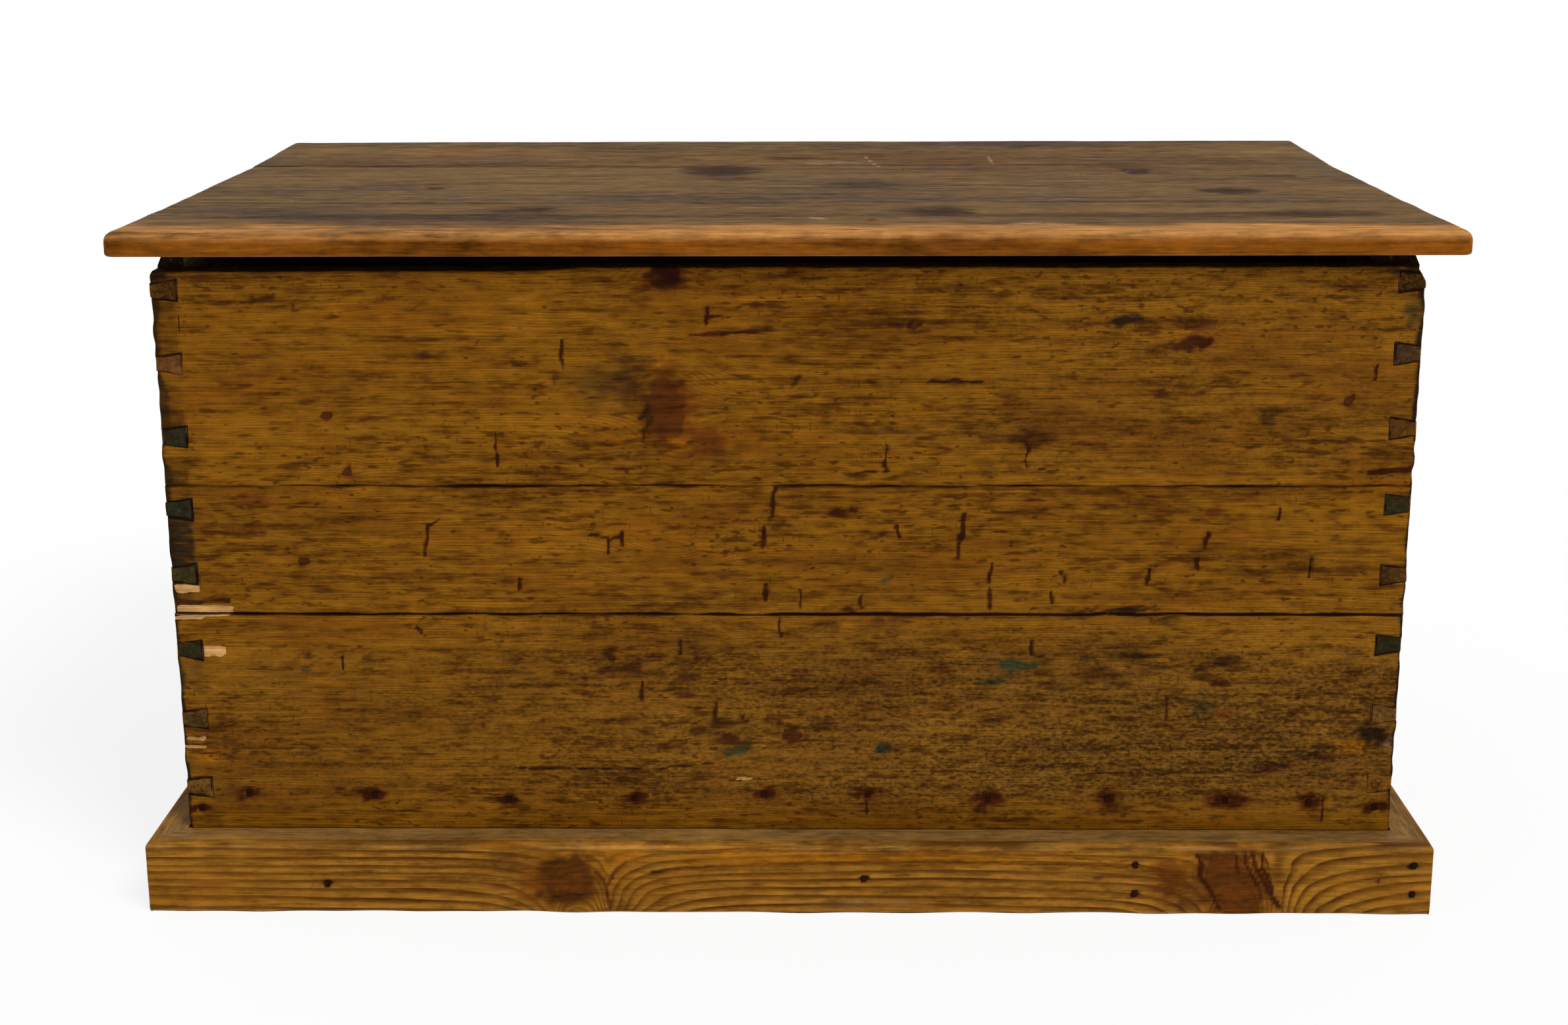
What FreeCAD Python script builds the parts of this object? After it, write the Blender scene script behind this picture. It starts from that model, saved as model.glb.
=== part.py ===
# Dovetailed pine blanket chest with a three-board lid on two iron butt hinges.
# Millimetres. +Z is up, the front faces -Y, and +X is to the right seen from the front.
# The origin is the middle of the chest's outline, on the floor that it stands on.
import FreeCAD
import Part
import math
import os

from FreeCAD import Vector

OUT = "parts"

# ---- driving dimensions ----------------------------------------------------------------
LID_L = 1000.0            # lid, left to right
LID_T = 18.0              # lid board thickness
LID_FRONT_OVERHANG = 14.0
LID_REAR_OVERHANG = 20.0
CASE_L = 941.0            # dovetailed case, outside
CASE_D = 516.0
CASE_H = 513.5            # top edge of the ends and the back
WALL_T = 20.0
PLINTH_H = 58.0
PLINTH_T = 27.0
PLINTH_ROUND = 4.5        # worn round on the plinth's top outer edge
FLOOR_T = 18.0
FLOOR_Z = 74.0            # underside of the floor boards
FLOOR_BOARDS = 5
FLOOR_GAP = 0.4           # shrinkage gap between floor boards

# ---- places that follow ----------------------------------------------------------------
DEPTH = PLINTH_T + CASE_D + LID_REAR_OVERHANG
CASE_FRONT = -DEPTH / 2 + PLINTH_T
CASE_BACK = CASE_FRONT + CASE_D
CASE_END = CASE_L / 2
INSIDE_FRONT = CASE_FRONT + WALL_T
INSIDE_BACK = CASE_BACK - WALL_T
INSIDE_END = CASE_END - WALL_T
LID_FRONT = CASE_FRONT - LID_FRONT_OVERHANG
LID_REAR = CASE_BACK + LID_REAR_OVERHANG
FLOOR_MID = FLOOR_Z + FLOOR_T / 2

# ---- dovetails: pins on the ends, tails on the front and back --------------------------
# Each end was marked out by eye: the middle of every pin, from the top down.
PIN_MIDDLES = {-1: (488.0, 432.0, 375.0, 319.0, 267.0, 206.0, 149.0, 92.0, 36.0),
               1: (494.0, 439.0, 382.0, 323.0, 267.0, 211.0, 154.0, 97.0, 38.0)}
PIN_TIP = 10.5            # height of a pin at the outside corner
PIN_ROOT = 16.5           # height of a pin at the base line

# Board joints, as heights, staggered from wall to wall so that no joint meets another.
FRONT_JOINTS = (235.5, 337.5)
BACK_JOINTS = (120.5, 290.0)
END_JOINTS = (177.0, 346.0)

# The front's top edge is worn down below the ends, a little more on the left.
FRONT_LOW = 502.5
FRONT_HIGH = 505.0
WEAR_STEP = (-180.0, -150.0)          # where the worn edge steps up, along X
CHIPS = {-1: (2.5, 4.0), 1: (6.5, 12.0)}   # width and height of the broken top corners

# ---- lid: cupped along its two glue joints ---------------------------------------------
LID_Z = CASE_H + 0.3                  # the middle board rests on the ends
LID_JOINT_FRONT = CASE_FRONT + 145.5
LID_JOINT_REAR = CASE_FRONT + 384.0
LID_FRONT_TILT = math.radians(0.5)    # each outer board rises away from the middle one
LID_REAR_TILT = math.radians(1.75)
LID_ROUND_TOP = 8.0
LID_ROUND_BOTTOM = 2.0
LID_CORNER = 10.0                     # front corners, seen from above

# ---- hinges ----------------------------------------------------------------------------
HINGE_X = 300.0                       # middle of each hinge, either side of the centre
HINGE_L = 76.0
KNUCKLES = 5
KNUCKLE_GAP = 0.25
BARREL_R = 3.2
PIN_R = 1.5
PIN_CLEAR = 0.05
PIN_HEAD = (2.6, 0.8)                 # radius and thickness of the peened ends
LEAF_T = 1.7
LEAF_W = 19.0
LEAF_CLEAR = 0.4                      # leaf edge to the other leaf's knuckles
AXIS_Y = CASE_BACK + 3.5
AXIS_Z = CASE_H + 2.2
SCREW_SPACING = 26.0
SCREW_R = 1.6
SCREW_HEAD_R = 3.2
SCREW_HEAD_H = 1.6
SCREW_CASE_L = 22.0
SCREW_LID_L = 14.0
SLOT_W = 0.8

# ---- cut nails -------------------------------------------------------------------------
NAIL_T = 2.6
NAIL_HEAD = (3.8, 5.2, 1.2)           # across the grain, along it, and thickness
NAIL_HALF_TIP = 0.5
FLOOR_NAIL_L = 46.0
PLINTH_NAIL_L = 41.0
# The floor's front nails as they were driven, by eye: (x, z).
FRONT_NAILS = ((-460.0, 74.5), (-422.0, 87.0), (-323.0, 86.0), (-218.0, 82.0),
               (-119.0, 83.5), (-18.0, 87.0), (63.0, 87.0), (157.0, 83.0),
               (250.0, 83.5), (342.0, 82.0), (407.0, 81.0), (458.0, 77.0))
PLINTH_FRONT_NAILS = ((-357.5, 23.5), (59.5, 29.0), (269.0, 41.0), (269.0, 17.0),
                      (483.0, 41.0), (483.0, 17.0))


def block(x0, x1, y0, y1, z0, z1):
    """A rectangular block between two corners."""
    return Part.makeBox(x1 - x0, y1 - y0, z1 - z0, Vector(x0, y0, z0))


def prism(points, along):
    """The solid that a closed outline of points sweeps along a vector."""
    wire = Part.makePolygon(list(points) + [points[0]])
    return Part.Face(wire).extrude(along)


def cut_all(shape, tools):
    """The shape with each tool that reaches it taken out."""
    near = [t for t in tools if shape.BoundBox.intersect(t.BoundBox)]
    return shape.cut(Part.Compound(near)).removeSplitter() if near else shape


def pin_wedge(side, z_mid, y0, y1):
    """One pin: a wedge that is narrow at the outside corner and wide at the base line."""
    tip, root = PIN_TIP / 2, PIN_ROOT / 2
    x_out, x_in = side * CASE_END, side * INSIDE_END
    points = [Vector(x_out, y0, z_mid - tip), Vector(x_out, y0, z_mid + tip),
              Vector(x_in, y0, z_mid + root), Vector(x_in, y0, z_mid - root)]
    return prism(points, Vector(0, y1 - y0, 0))


def sockets(y0, y1):
    """Every pin socket of a front or back wall."""
    return [pin_wedge(side, z, y0, y1) for side in (-1, 1) for z in PIN_MIDDLES[side]]


def tail_board(y0, z0, z1):
    """A front or back board, full length, with the pin sockets cut in its ends."""
    return cut_all(block(-CASE_END, CASE_END, y0, y0 + WALL_T, z0, z1),
                   sockets(y0, y0 + WALL_T))


def corner_chip(side):
    """The wedge broken off a top corner of the front, pin and tail alike."""
    width, height = CHIPS[side]
    top = FRONT_HIGH if side > 0 else FRONT_LOW
    corner = Vector(side * CASE_END, CASE_FRONT, top)
    points = [corner, corner + Vector(-side * width, 0, 0), corner + Vector(0, 0, -height)]
    return prism(points, Vector(0, WALL_T, 0))


def front_top_board(z0):
    """The front's top board, whose upper edge is worn and whose corners are broken."""
    y0 = CASE_FRONT
    outline = [(-CASE_END, z0), (CASE_END, z0), (CASE_END, FRONT_HIGH), (WEAR_STEP[1], FRONT_HIGH),
               (WEAR_STEP[0], FRONT_LOW), (-CASE_END, FRONT_LOW)]
    board = prism([Vector(x, y0, z) for x, z in outline], Vector(0, WALL_T, 0))
    return cut_all(board, sockets(y0, y0 + WALL_T) + [corner_chip(-1), corner_chip(1)])


def pin_board(side, z0, z1):
    """An end board: a plank between the front and back walls, with its pins."""
    x0, x1 = sorted((side * INSIDE_END, side * CASE_END))
    board = block(x0, x1, INSIDE_FRONT, INSIDE_BACK, z0, z1)
    for z in PIN_MIDDLES[side]:
        if z0 < z < z1:
            board = board.fuse(pin_wedge(side, z, CASE_FRONT, INSIDE_FRONT))
            board = board.fuse(pin_wedge(side, z, INSIDE_BACK, CASE_BACK))
    return cut_all(board.removeSplitter(), [corner_chip(side)])


def wall(name, joints, top, make):
    """The bottom, middle and top board of one wall, by name."""
    lows = (0.0,) + joints
    highs = joints + (top,)
    rows = ("bottom", "middle", "top")
    return {f"{name}_{row}_board": make(z0, z1) for row, z0, z1 in zip(rows, lows, highs)}


def case_walls():
    """The twelve boards of the four walls."""
    front = wall("front", FRONT_JOINTS, FRONT_HIGH, lambda z0, z1: tail_board(CASE_FRONT, z0, z1))
    front["front_top_board"] = front_top_board(FRONT_JOINTS[1])
    back = wall("back", BACK_JOINTS, CASE_H, lambda z0, z1: tail_board(INSIDE_BACK, z0, z1))
    left = wall("left_end", END_JOINTS, CASE_H, lambda z0, z1: pin_board(-1, z0, z1))
    right = wall("right_end", END_JOINTS, CASE_H, lambda z0, z1: pin_board(1, z0, z1))
    return {**front, **back, **left, **right}


def floor_boards():
    """The floor: boards that run front to back between the walls."""
    pitch = 2 * INSIDE_END / FLOOR_BOARDS
    boards = {}
    for i in range(FLOOR_BOARDS):
        x0 = -INSIDE_END + i * pitch + (FLOOR_GAP / 2 if i > 0 else 0.0)
        x1 = -INSIDE_END + (i + 1) * pitch - (FLOOR_GAP / 2 if i < FLOOR_BOARDS - 1 else 0.0)
        boards[f"floor_board_{i + 1}"] = block(x0, x1, INSIDE_FRONT, INSIDE_BACK,
                                               FLOOR_Z, FLOOR_Z + FLOOR_T)
    return boards


def plinth_bar(length):
    """A length of plinth along +X with its outer face at y = 0 and its back at y = PLINTH_T."""
    r = PLINTH_ROUND
    low = Part.LineSegment(Vector(0, PLINTH_T, 0), Vector(0, 0, 0)).toShape()
    face = Part.LineSegment(Vector(0, 0, 0), Vector(0, 0, PLINTH_H - r)).toShape()
    dip = r * (1 - math.sqrt(0.5))
    round_over = Part.Arc(Vector(0, 0, PLINTH_H - r), Vector(0, dip, PLINTH_H - dip),
                          Vector(0, r, PLINTH_H)).toShape()
    top = Part.LineSegment(Vector(0, r, PLINTH_H), Vector(0, PLINTH_T, PLINTH_H)).toShape()
    back = Part.LineSegment(Vector(0, PLINTH_T, PLINTH_H), Vector(0, PLINTH_T, 0)).toShape()
    return Part.Face(Part.Wire([low, face, round_over, top, back])).extrude(Vector(length, 0, 0))


def mitred(bar, outline):
    """The part of a bar inside an outline seen from above."""
    return bar.common(prism([Vector(x, y, 0) for x, y in outline], Vector(0, 0, PLINTH_H)))


def plinth():
    """Front and end plinth pieces, mitred at the front corners and square at the back."""
    out_x, in_x = CASE_END + PLINTH_T, CASE_END
    out_y, in_y = CASE_FRONT - PLINTH_T, CASE_FRONT
    front = plinth_bar(2 * out_x)
    front.translate(Vector(-out_x, out_y, 0))
    front = mitred(front, [(-out_x, out_y), (out_x, out_y), (in_x, in_y), (-in_x, in_y)])
    run = CASE_BACK - out_y
    right = plinth_bar(run)
    right.rotate(Vector(0, 0, 0), Vector(0, 0, 1), 90)
    right.translate(Vector(out_x, out_y, 0))
    right = mitred(right, [(out_x, out_y), (out_x, CASE_BACK), (in_x, CASE_BACK), (in_x, in_y)])
    left = right.mirror(Vector(0, 0, 0), Vector(1, 0, 0))
    return {"plinth_front": front, "plinth_left": left, "plinth_right": right}


def lid_underside(y):
    """Height of the lid's underside at a depth y."""
    rise_front = max(0.0, LID_JOINT_FRONT - y) * math.tan(LID_FRONT_TILT)
    rise_rear = max(0.0, y - LID_JOINT_REAR) * math.tan(LID_REAR_TILT)
    return LID_Z + rise_front + rise_rear


def rounded(board, y_edge):
    """A lid board with its outside edges rounded: its two ends, and its long edge at
    y_edge where that is the lid's front."""
    half = LID_L / 2
    tol = 0.01
    top, bottom, corners = [], [], []
    for edge in board.Edges:
        ends = [v.Point for v in edge.Vertexes]
        mid = (ends[0] + ends[1]) / 2
        upright = abs(ends[0].x - ends[1].x) < tol and abs(ends[0].y - ends[1].y) < tol
        at_end = abs(abs(mid.x) - half) < tol and not upright
        at_front = y_edge is not None and abs(mid.y - y_edge) < tol and not upright
        if upright and y_edge is not None and abs(mid.y - y_edge) < tol:
            corners.append(edge)
        elif at_end or at_front:
            high = mid.z > lid_underside(mid.y) + LID_T / 2
            (top if high else bottom).append(edge)
    if corners:
        board = board.makeFillet(LID_CORNER, corners)
        return rounded_rims(board, y_edge)
    return board.makeFillet(LID_ROUND_TOP, top).makeFillet(LID_ROUND_BOTTOM, bottom)


def rounded_rims(board, y_edge):
    """Rounds the top and bottom rims of the front lid board, corner arcs included."""
    for radius, high in ((LID_ROUND_TOP, True), (LID_ROUND_BOTTOM, False)):
        rim = []
        for edge in board.Edges:
            mid = edge.valueAt((edge.FirstParameter + edge.LastParameter) / 2)
            level = lid_underside(mid.y) + (LID_T if high else 0.0)
            outside = abs(mid.y - LID_JOINT_FRONT) > 1.0
            if abs(mid.z - level) < 0.6 and outside:
                rim.append(edge)
        board = board.makeFillet(radius, rim)
    return board


def lid_board(y0, y1, y_edge=None):
    """One lid board between two depths, following the cupped underside."""
    z0, z1 = lid_underside(y0), lid_underside(y1)
    x = -LID_L / 2
    outline = [Vector(x, y0, z0), Vector(x, y1, z1), Vector(x, y1, z1 + LID_T),
               Vector(x, y0, z0 + LID_T)]
    return rounded(prism(outline, Vector(LID_L, 0, 0)), y_edge)


def lid_boards():
    """The lid's three boards, the rear one grooved over the hinge barrels."""
    rear = lid_board(LID_JOINT_REAR, LID_REAR)
    groove_l = HINGE_L + 2 * PIN_HEAD[1] + 2.4
    for side in (-1, 1):
        start = Vector(side * HINGE_X - groove_l / 2, AXIS_Y, AXIS_Z)
        groove = Part.makeCylinder(BARREL_R + LEAF_CLEAR, groove_l, start, Vector(1, 0, 0))
        rear = rear.cut(groove)
    return {"lid_front_board": lid_board(LID_FRONT, LID_JOINT_FRONT, LID_FRONT),
            "lid_middle_board": lid_board(LID_JOINT_FRONT, LID_JOINT_REAR),
            "lid_rear_board": rear}


def cut_nail(length):
    """A cut nail along +Y: a flat head at y = 0 and a shank that tapers to its tip."""
    head_x, head_z, head_t = NAIL_HEAD
    half = NAIL_T / 2
    shank = prism([Vector(-half, 0, -half), Vector(-half, 0, half),
                   Vector(-half, length, NAIL_HALF_TIP), Vector(-half, length, -NAIL_HALF_TIP)],
                  Vector(NAIL_T, 0, 0))
    head = block(-head_x / 2, head_x / 2, 0, head_t, -head_z / 2, head_z / 2)
    return shank.fuse(head)


def driven(length, turn, places):
    """Nails driven at places (x, y, z), turned about Z from the +Y direction."""
    nails = []
    for x, y, z in places:
        nail = cut_nail(length)
        nail.rotate(Vector(0, 0, 0), Vector(0, 0, 1), turn)
        nail.translate(Vector(x, y, z))
        nails.append(nail)
    return nails


def nail_rows():
    """Every row of nails, by node name."""
    pitch = 2 * INSIDE_END / FLOOR_BOARDS
    back_x = [-INSIDE_END + (i + share) * pitch for i in range(FLOOR_BOARDS) for share in (0.25, 0.75)]
    depths = [CASE_FRONT + CASE_D * share for share in (0.16, 0.39, 0.62, 0.85)]
    plinth_y = CASE_FRONT - PLINTH_T
    plinth_x = CASE_END + PLINTH_T
    end_plinth = [(CASE_FRONT + CASE_D * share, z) for share in (0.1, 0.5, 0.9) for z in (17.0, 41.0)]
    return {
        "floor_nails_front": driven(FLOOR_NAIL_L, 0, [(x, CASE_FRONT, z) for x, z in FRONT_NAILS]),
        "floor_nails_back": driven(FLOOR_NAIL_L, 180, [(x, CASE_BACK, FLOOR_MID) for x in back_x]),
        "floor_nails_left": driven(FLOOR_NAIL_L, -90, [(-CASE_END, y, FLOOR_MID) for y in depths]),
        "floor_nails_right": driven(FLOOR_NAIL_L, 90, [(CASE_END, y, FLOOR_MID) for y in depths]),
        "plinth_nails_front": driven(PLINTH_NAIL_L, 0,
                                     [(x, plinth_y, z) for x, z in PLINTH_FRONT_NAILS]),
        "plinth_nails_left": driven(PLINTH_NAIL_L, -90, [(-plinth_x, y, z) for y, z in end_plinth]),
        "plinth_nails_right": driven(PLINTH_NAIL_L, 90, [(plinth_x, y, z) for y, z in end_plinth]),
    }


def screw(length, slotted=True):
    """A countersunk wood screw along -Z, with the top of its head at z = 0."""
    head = Part.makeCone(SCREW_R, SCREW_HEAD_R, SCREW_HEAD_H, Vector(0, 0, -SCREW_HEAD_H))
    tip = 2 * SCREW_R
    shank = Part.makeCylinder(SCREW_R, length - tip - SCREW_HEAD_H, Vector(0, 0, tip - length))
    point = Part.makeCone(0.0, SCREW_R, tip, Vector(0, 0, -length))
    whole = head.fuse(shank).fuse(point).removeSplitter()
    if slotted:
        r = SCREW_HEAD_R
        whole = whole.cut(block(-r, r, -SLOT_W / 2, SLOT_W / 2, -SLOT_W, 1.0))
    return whole


def leaf(levels, knuckle_ids):
    """A hinge leaf about an axis on X at the origin: a plate in front of the axis between
    two levels, and its share of the knuckles."""
    z0, z1 = levels
    long_knuckle = (HINGE_L - (KNUCKLES - 1) * KNUCKLE_GAP) / KNUCKLES
    half = HINGE_L / 2
    edge = -(BARREL_R + LEAF_CLEAR)
    shape = block(-half, half, edge - LEAF_W, edge, z0, z1)
    bore_edge = -(PIN_R + LEAF_CLEAR)
    for i in knuckle_ids:
        x0 = -half + i * (long_knuckle + KNUCKLE_GAP)
        x1 = x0 + long_knuckle
        shape = shape.fuse(block(x0, x1, edge - 1.0, bore_edge, z0, z1))
        ring = Part.makeCylinder(BARREL_R, long_knuckle, Vector(x0, 0, 0), Vector(1, 0, 0))
        shape = shape.fuse(ring)
    bore = Part.makeCylinder(PIN_R + PIN_CLEAR, HINGE_L + 2, Vector(-half - 1, 0, 0), Vector(1, 0, 0))
    return shape.cut(bore).removeSplitter()


def hinge_pin():
    """The hinge pin with its two peened ends."""
    half = HINGE_L / 2
    head_r, head_t = PIN_HEAD
    gap = 0.1
    pin = Part.makeCylinder(PIN_R, HINGE_L + 2 * gap, Vector(-half - gap, 0, 0), Vector(1, 0, 0))
    for x in (-half - gap - head_t, half + gap):
        pin = pin.fuse(Part.makeCylinder(head_r, head_t, Vector(x, 0, 0), Vector(1, 0, 0)))
    return pin.removeSplitter()


def hinge(side):
    """One butt hinge in place: its leaves, pin and screws, and the holes the screws need."""
    x_mid = side * HINGE_X
    place = Vector(x_mid, AXIS_Y, AXIS_Z)
    tilt = math.degrees(LID_REAR_TILT)
    origin, x_axis = Vector(0, 0, 0), Vector(1, 0, 0)
    case_z0 = CASE_H - AXIS_Z
    lid_z1 = (lid_underside(AXIS_Y) - AXIS_Z) * math.cos(LID_REAR_TILT)
    case_leaf = leaf((case_z0, case_z0 + LEAF_T), range(0, KNUCKLES, 2))
    lid_leaf = leaf((lid_z1 - LEAF_T, lid_z1), range(1, KNUCKLES, 2))
    y_screw = -(BARREL_R + LEAF_CLEAR + LEAF_W / 2)
    case_screws, lid_screws, case_holes, lid_holes = [], [], [], []
    for step in (-1, 0, 1):
        x = step * SCREW_SPACING
        for slotted, down, up in ((True, case_screws, lid_screws), (False, case_holes, lid_holes)):
            low = screw(SCREW_CASE_L, slotted)
            low.translate(Vector(x, y_screw, case_z0 + LEAF_T))
            down.append(low)
            high = screw(SCREW_LID_L, slotted)
            high.rotate(origin, x_axis, 180)
            high.translate(Vector(x, y_screw, lid_z1 - LEAF_T))
            up.append(high)
    case_leaf = cut_all(case_leaf, case_holes)
    lid_leaf = cut_all(lid_leaf, lid_holes)
    pin = hinge_pin()
    for tilted in [lid_leaf] + lid_screws + lid_holes:
        tilted.rotate(origin, x_axis, tilt)
    for piece in [case_leaf, lid_leaf, pin] + case_screws + lid_screws + case_holes + lid_holes:
        piece.translate(place)
    return case_leaf, lid_leaf, pin, case_screws, lid_screws, case_holes, lid_holes


def main():
    """Builds every piece, drills the boards for their nails and screws, and writes the files."""
    case = {**case_walls(), **floor_boards(), **plinth()}
    lid = lid_boards()
    iron = {}
    nails = nail_rows()
    case_holes = [nail for row in nails.values() for nail in row]
    lid_holes = []
    for name, side in (("left", -1), ("right", 1)):
        case_leaf, lid_leaf, pin, down, up, holes_down, holes_up = hinge(side)
        iron[f"{name}_hinge_case_leaf"] = case_leaf
        iron[f"{name}_hinge_lid_leaf"] = lid_leaf
        iron[f"{name}_hinge_pin"] = pin
        iron[f"{name}_hinge_case_screws"] = Part.Compound(down)
        iron[f"{name}_hinge_lid_screws"] = Part.Compound(up)
        case_holes += holes_down
        lid_holes += holes_up
    iron.update({name: Part.Compound(row) for name, row in nails.items()})
    case = {name: cut_all(shape, case_holes) for name, shape in case.items()}
    lid = {name: cut_all(shape, lid_holes) for name, shape in lid.items()}

    os.makedirs(OUT, exist_ok=True)
    for name, shape in {**case, **lid, **iron}.items():
        shape.exportStep(os.path.join(OUT, name + ".step"))
        print(f"{name:28s} solids {len(shape.Solids):3d}  valid {shape.isValid()}  "
              f"{shape.Volume / 1000:9.2f} cm3")


main()
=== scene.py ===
import math

import bpy
import numpy as np
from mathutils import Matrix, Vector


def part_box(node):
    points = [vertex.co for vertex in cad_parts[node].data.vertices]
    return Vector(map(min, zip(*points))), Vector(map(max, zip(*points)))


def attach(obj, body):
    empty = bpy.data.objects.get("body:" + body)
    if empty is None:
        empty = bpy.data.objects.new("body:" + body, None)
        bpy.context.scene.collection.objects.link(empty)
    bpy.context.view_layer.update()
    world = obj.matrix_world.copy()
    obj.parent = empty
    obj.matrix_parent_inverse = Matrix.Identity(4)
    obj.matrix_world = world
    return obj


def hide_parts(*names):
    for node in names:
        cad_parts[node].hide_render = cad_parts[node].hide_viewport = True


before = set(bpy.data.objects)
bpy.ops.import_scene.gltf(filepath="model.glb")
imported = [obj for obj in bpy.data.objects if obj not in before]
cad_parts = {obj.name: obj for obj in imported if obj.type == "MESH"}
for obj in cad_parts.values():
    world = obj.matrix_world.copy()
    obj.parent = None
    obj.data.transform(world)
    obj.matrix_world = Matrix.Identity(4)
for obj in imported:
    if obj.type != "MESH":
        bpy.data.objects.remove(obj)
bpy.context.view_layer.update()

# ---- Front ------------------------------------------------------------------------------
# Three old pine boards, rubbed joint to rubbed joint, with dovetail tails cut in both ends.
# Oiled and waxed to a dark honey, checked and stained all over, and worn round at every edge.
MM = 0.001
front_low, front_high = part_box("front_bottom_board")
CASE_END = front_high.x
CASE_FRONT = front_low.y
INSIDE_FRONT = front_high.y
WALL = INSIDE_FRONT - CASE_FRONT
BASE_LINE = CASE_END - WALL
FRONT_JOINTS = (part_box("front_middle_board")[0].z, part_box("front_top_board")[0].z)
FRONT_LOW_EDGE = 502.5 * MM
FRONT_HIGH_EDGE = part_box("front_top_board")[1].z
WEAR_STEP = (-180 * MM, -150 * MM)
CORNER_CHIP = {-1: (2.5 * MM, 4 * MM), 1: (6.5 * MM, 12 * MM)}
PIN_MIDDLES = {-1: (488, 432, 375, 319, 267, 206, 149, 92, 36),
               1: (494, 439, 382, 323, 267, 211, 154, 97, 38)}
PIN_TIP = 10.5 * MM
PIN_ROOT = 16.5 * MM
LIP = 0.8                       # width of the worn arris along the pins, in millimetres
SEAM_LIP = 1.4                  # width of the worn arris along the joints between boards
TAIL_SKIN = 8 * MM              # how much of a tail's end shows as end grain
INNER_FACE = 0.999              # a place with more of the thickness above it is on the inside
EDGE_ROWS = np.array((0.0, 0.6, 1.5, 3.0)) * MM
# Added to a board's number to seed its waves: edges, slow swell, fine ripple, stains.
UNEVEN, SWELL, RIPPLE, BLUR = 60, 80, 90, 20

# Bare woods, stains, dirt and painted shade as screen colours.
TAN = (172, 130, 80)
HONEY = (160, 112, 62)
BROWN = (58, 28, 8)
RUST = (46, 13, 3)
# Soot for real stains, and also the dark of painted shade under the lid and down the case's ends.
SOOT_AND_SHADE = (16, 10, 4)
MURK = (58, 36, 10)
GREEN = (42, 52, 28)
TEAL = (26, 36, 24)
SLATE = (28, 31, 22)
OLIVE = (42, 40, 18)
ASH = (118, 104, 84)
OCHRE = (142, 86, 8)
FOX = (92, 46, 8)
UMBER = (76, 54, 26)
PITCH_GREEN = (28, 30, 16)
UNDER_LID_SHADE = (34, 22, 10)
CHESTNUT = (66, 31, 4)
MAHOGANY = (52, 18, 6)
OXBLOOD = (40, 10, 3)
CRACK_BLACK = (22, 7, 3)

# Knots: middle x and z, half width and half height, in millimetres.
FRONT_KNOTS = ((-89, 397, 12.5, 29), (-89, 499, 14, 10), (306, 448, 7, 5), (2, 137, 7, 8),
               (-345, 392, 3.5, 3.5), (-330, 350, 3.5, 5), (420, 404, 3.5, 5), (-368, 277, 4, 4),
               (-135, 202, 6, 6), (95, 461, 4, 4))
# Cracks and short splits: from x and z to x and z, and the width, in millimetres.
FRONT_CRACKS = (
    (134, 314, 130, 281, 1.8), (-17, 304, -18, 290, 1.7), (-9, 337, -9, 315, 0.9),
    (-16, 258, -16, 247, 1.7), (155, 275, 155, 262, 1.1), (155, 256, 155, 240, 1.3),
    (-272, 306, -275, 283, 1.2), (-262, 310, -272, 307, 0.9), (85, 307, 85, 297, 1.6),
    (318, 300, 318, 289, 1.2), (437, 348.5, 471, 350, 1.9), (-471, 245, -427, 245.5, 1.8),
    (107, 419, 147, 419, 1.0), (75, 369, 75, 348, 0.7), (35, 348, 75, 348, 0.7),
    (180, 352, 212, 350, 0.7), (-210, 108, -110, 108.5, 0.7), (-110, 108.5, -55, 113, 0.7),
    (292, 168, 293, 150, 0.9), (-150, 300, -136, 296, 0.9), (-136, 296, -135, 284, 1),
    (-135, 294, -124, 299, 0.9), (-124, 302, -124, 290, 1.1), (-167, 449, -166, 429, 1.2),
    (-58, 474, -58, 463, 1.4), (-58, 468, -45, 467, 1.0), (-70, 454, -22, 456, 1.2),
    (397, 281, 396, 265, 1), (312, 280, 312, 271, 1.2), (275, 271, 274, 261, 1.4),
    (202, 254, 202, 245, 1.2), (208, 270, 214, 257, 1.2), (57, 250, 57, 240, 0.9),
    (-204, 264, -204, 256, 1.2), (-112, 180, -112, 165, 1), (-82, 214, -82, 203, 1.3),
    (-55, 163, -55, 146, 1.2), (-342, 201, -342, 191, 1), (-284, 225, -279, 218, 1.2),
    (372, 320, 372, 312, 0.9), (438, 430, 437, 420, 0.8), (61, 86, 62, 70, 0.8),
    (418, 84, 418, 66, 0.9), (-5, 232, -5, 216, 0.9), (11, 256, 11, 240, 0.7),
    (-218, 378, -218, 352, 0.7), (-130, 352, -110, 351, 0.8), (187, 213, 187, 203, 0.9),
    (-35, 152, -30, 146, 1.1), (240, 370, 212, 369, 0.7), (180, 372, 180, 352, 0.7))
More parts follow.
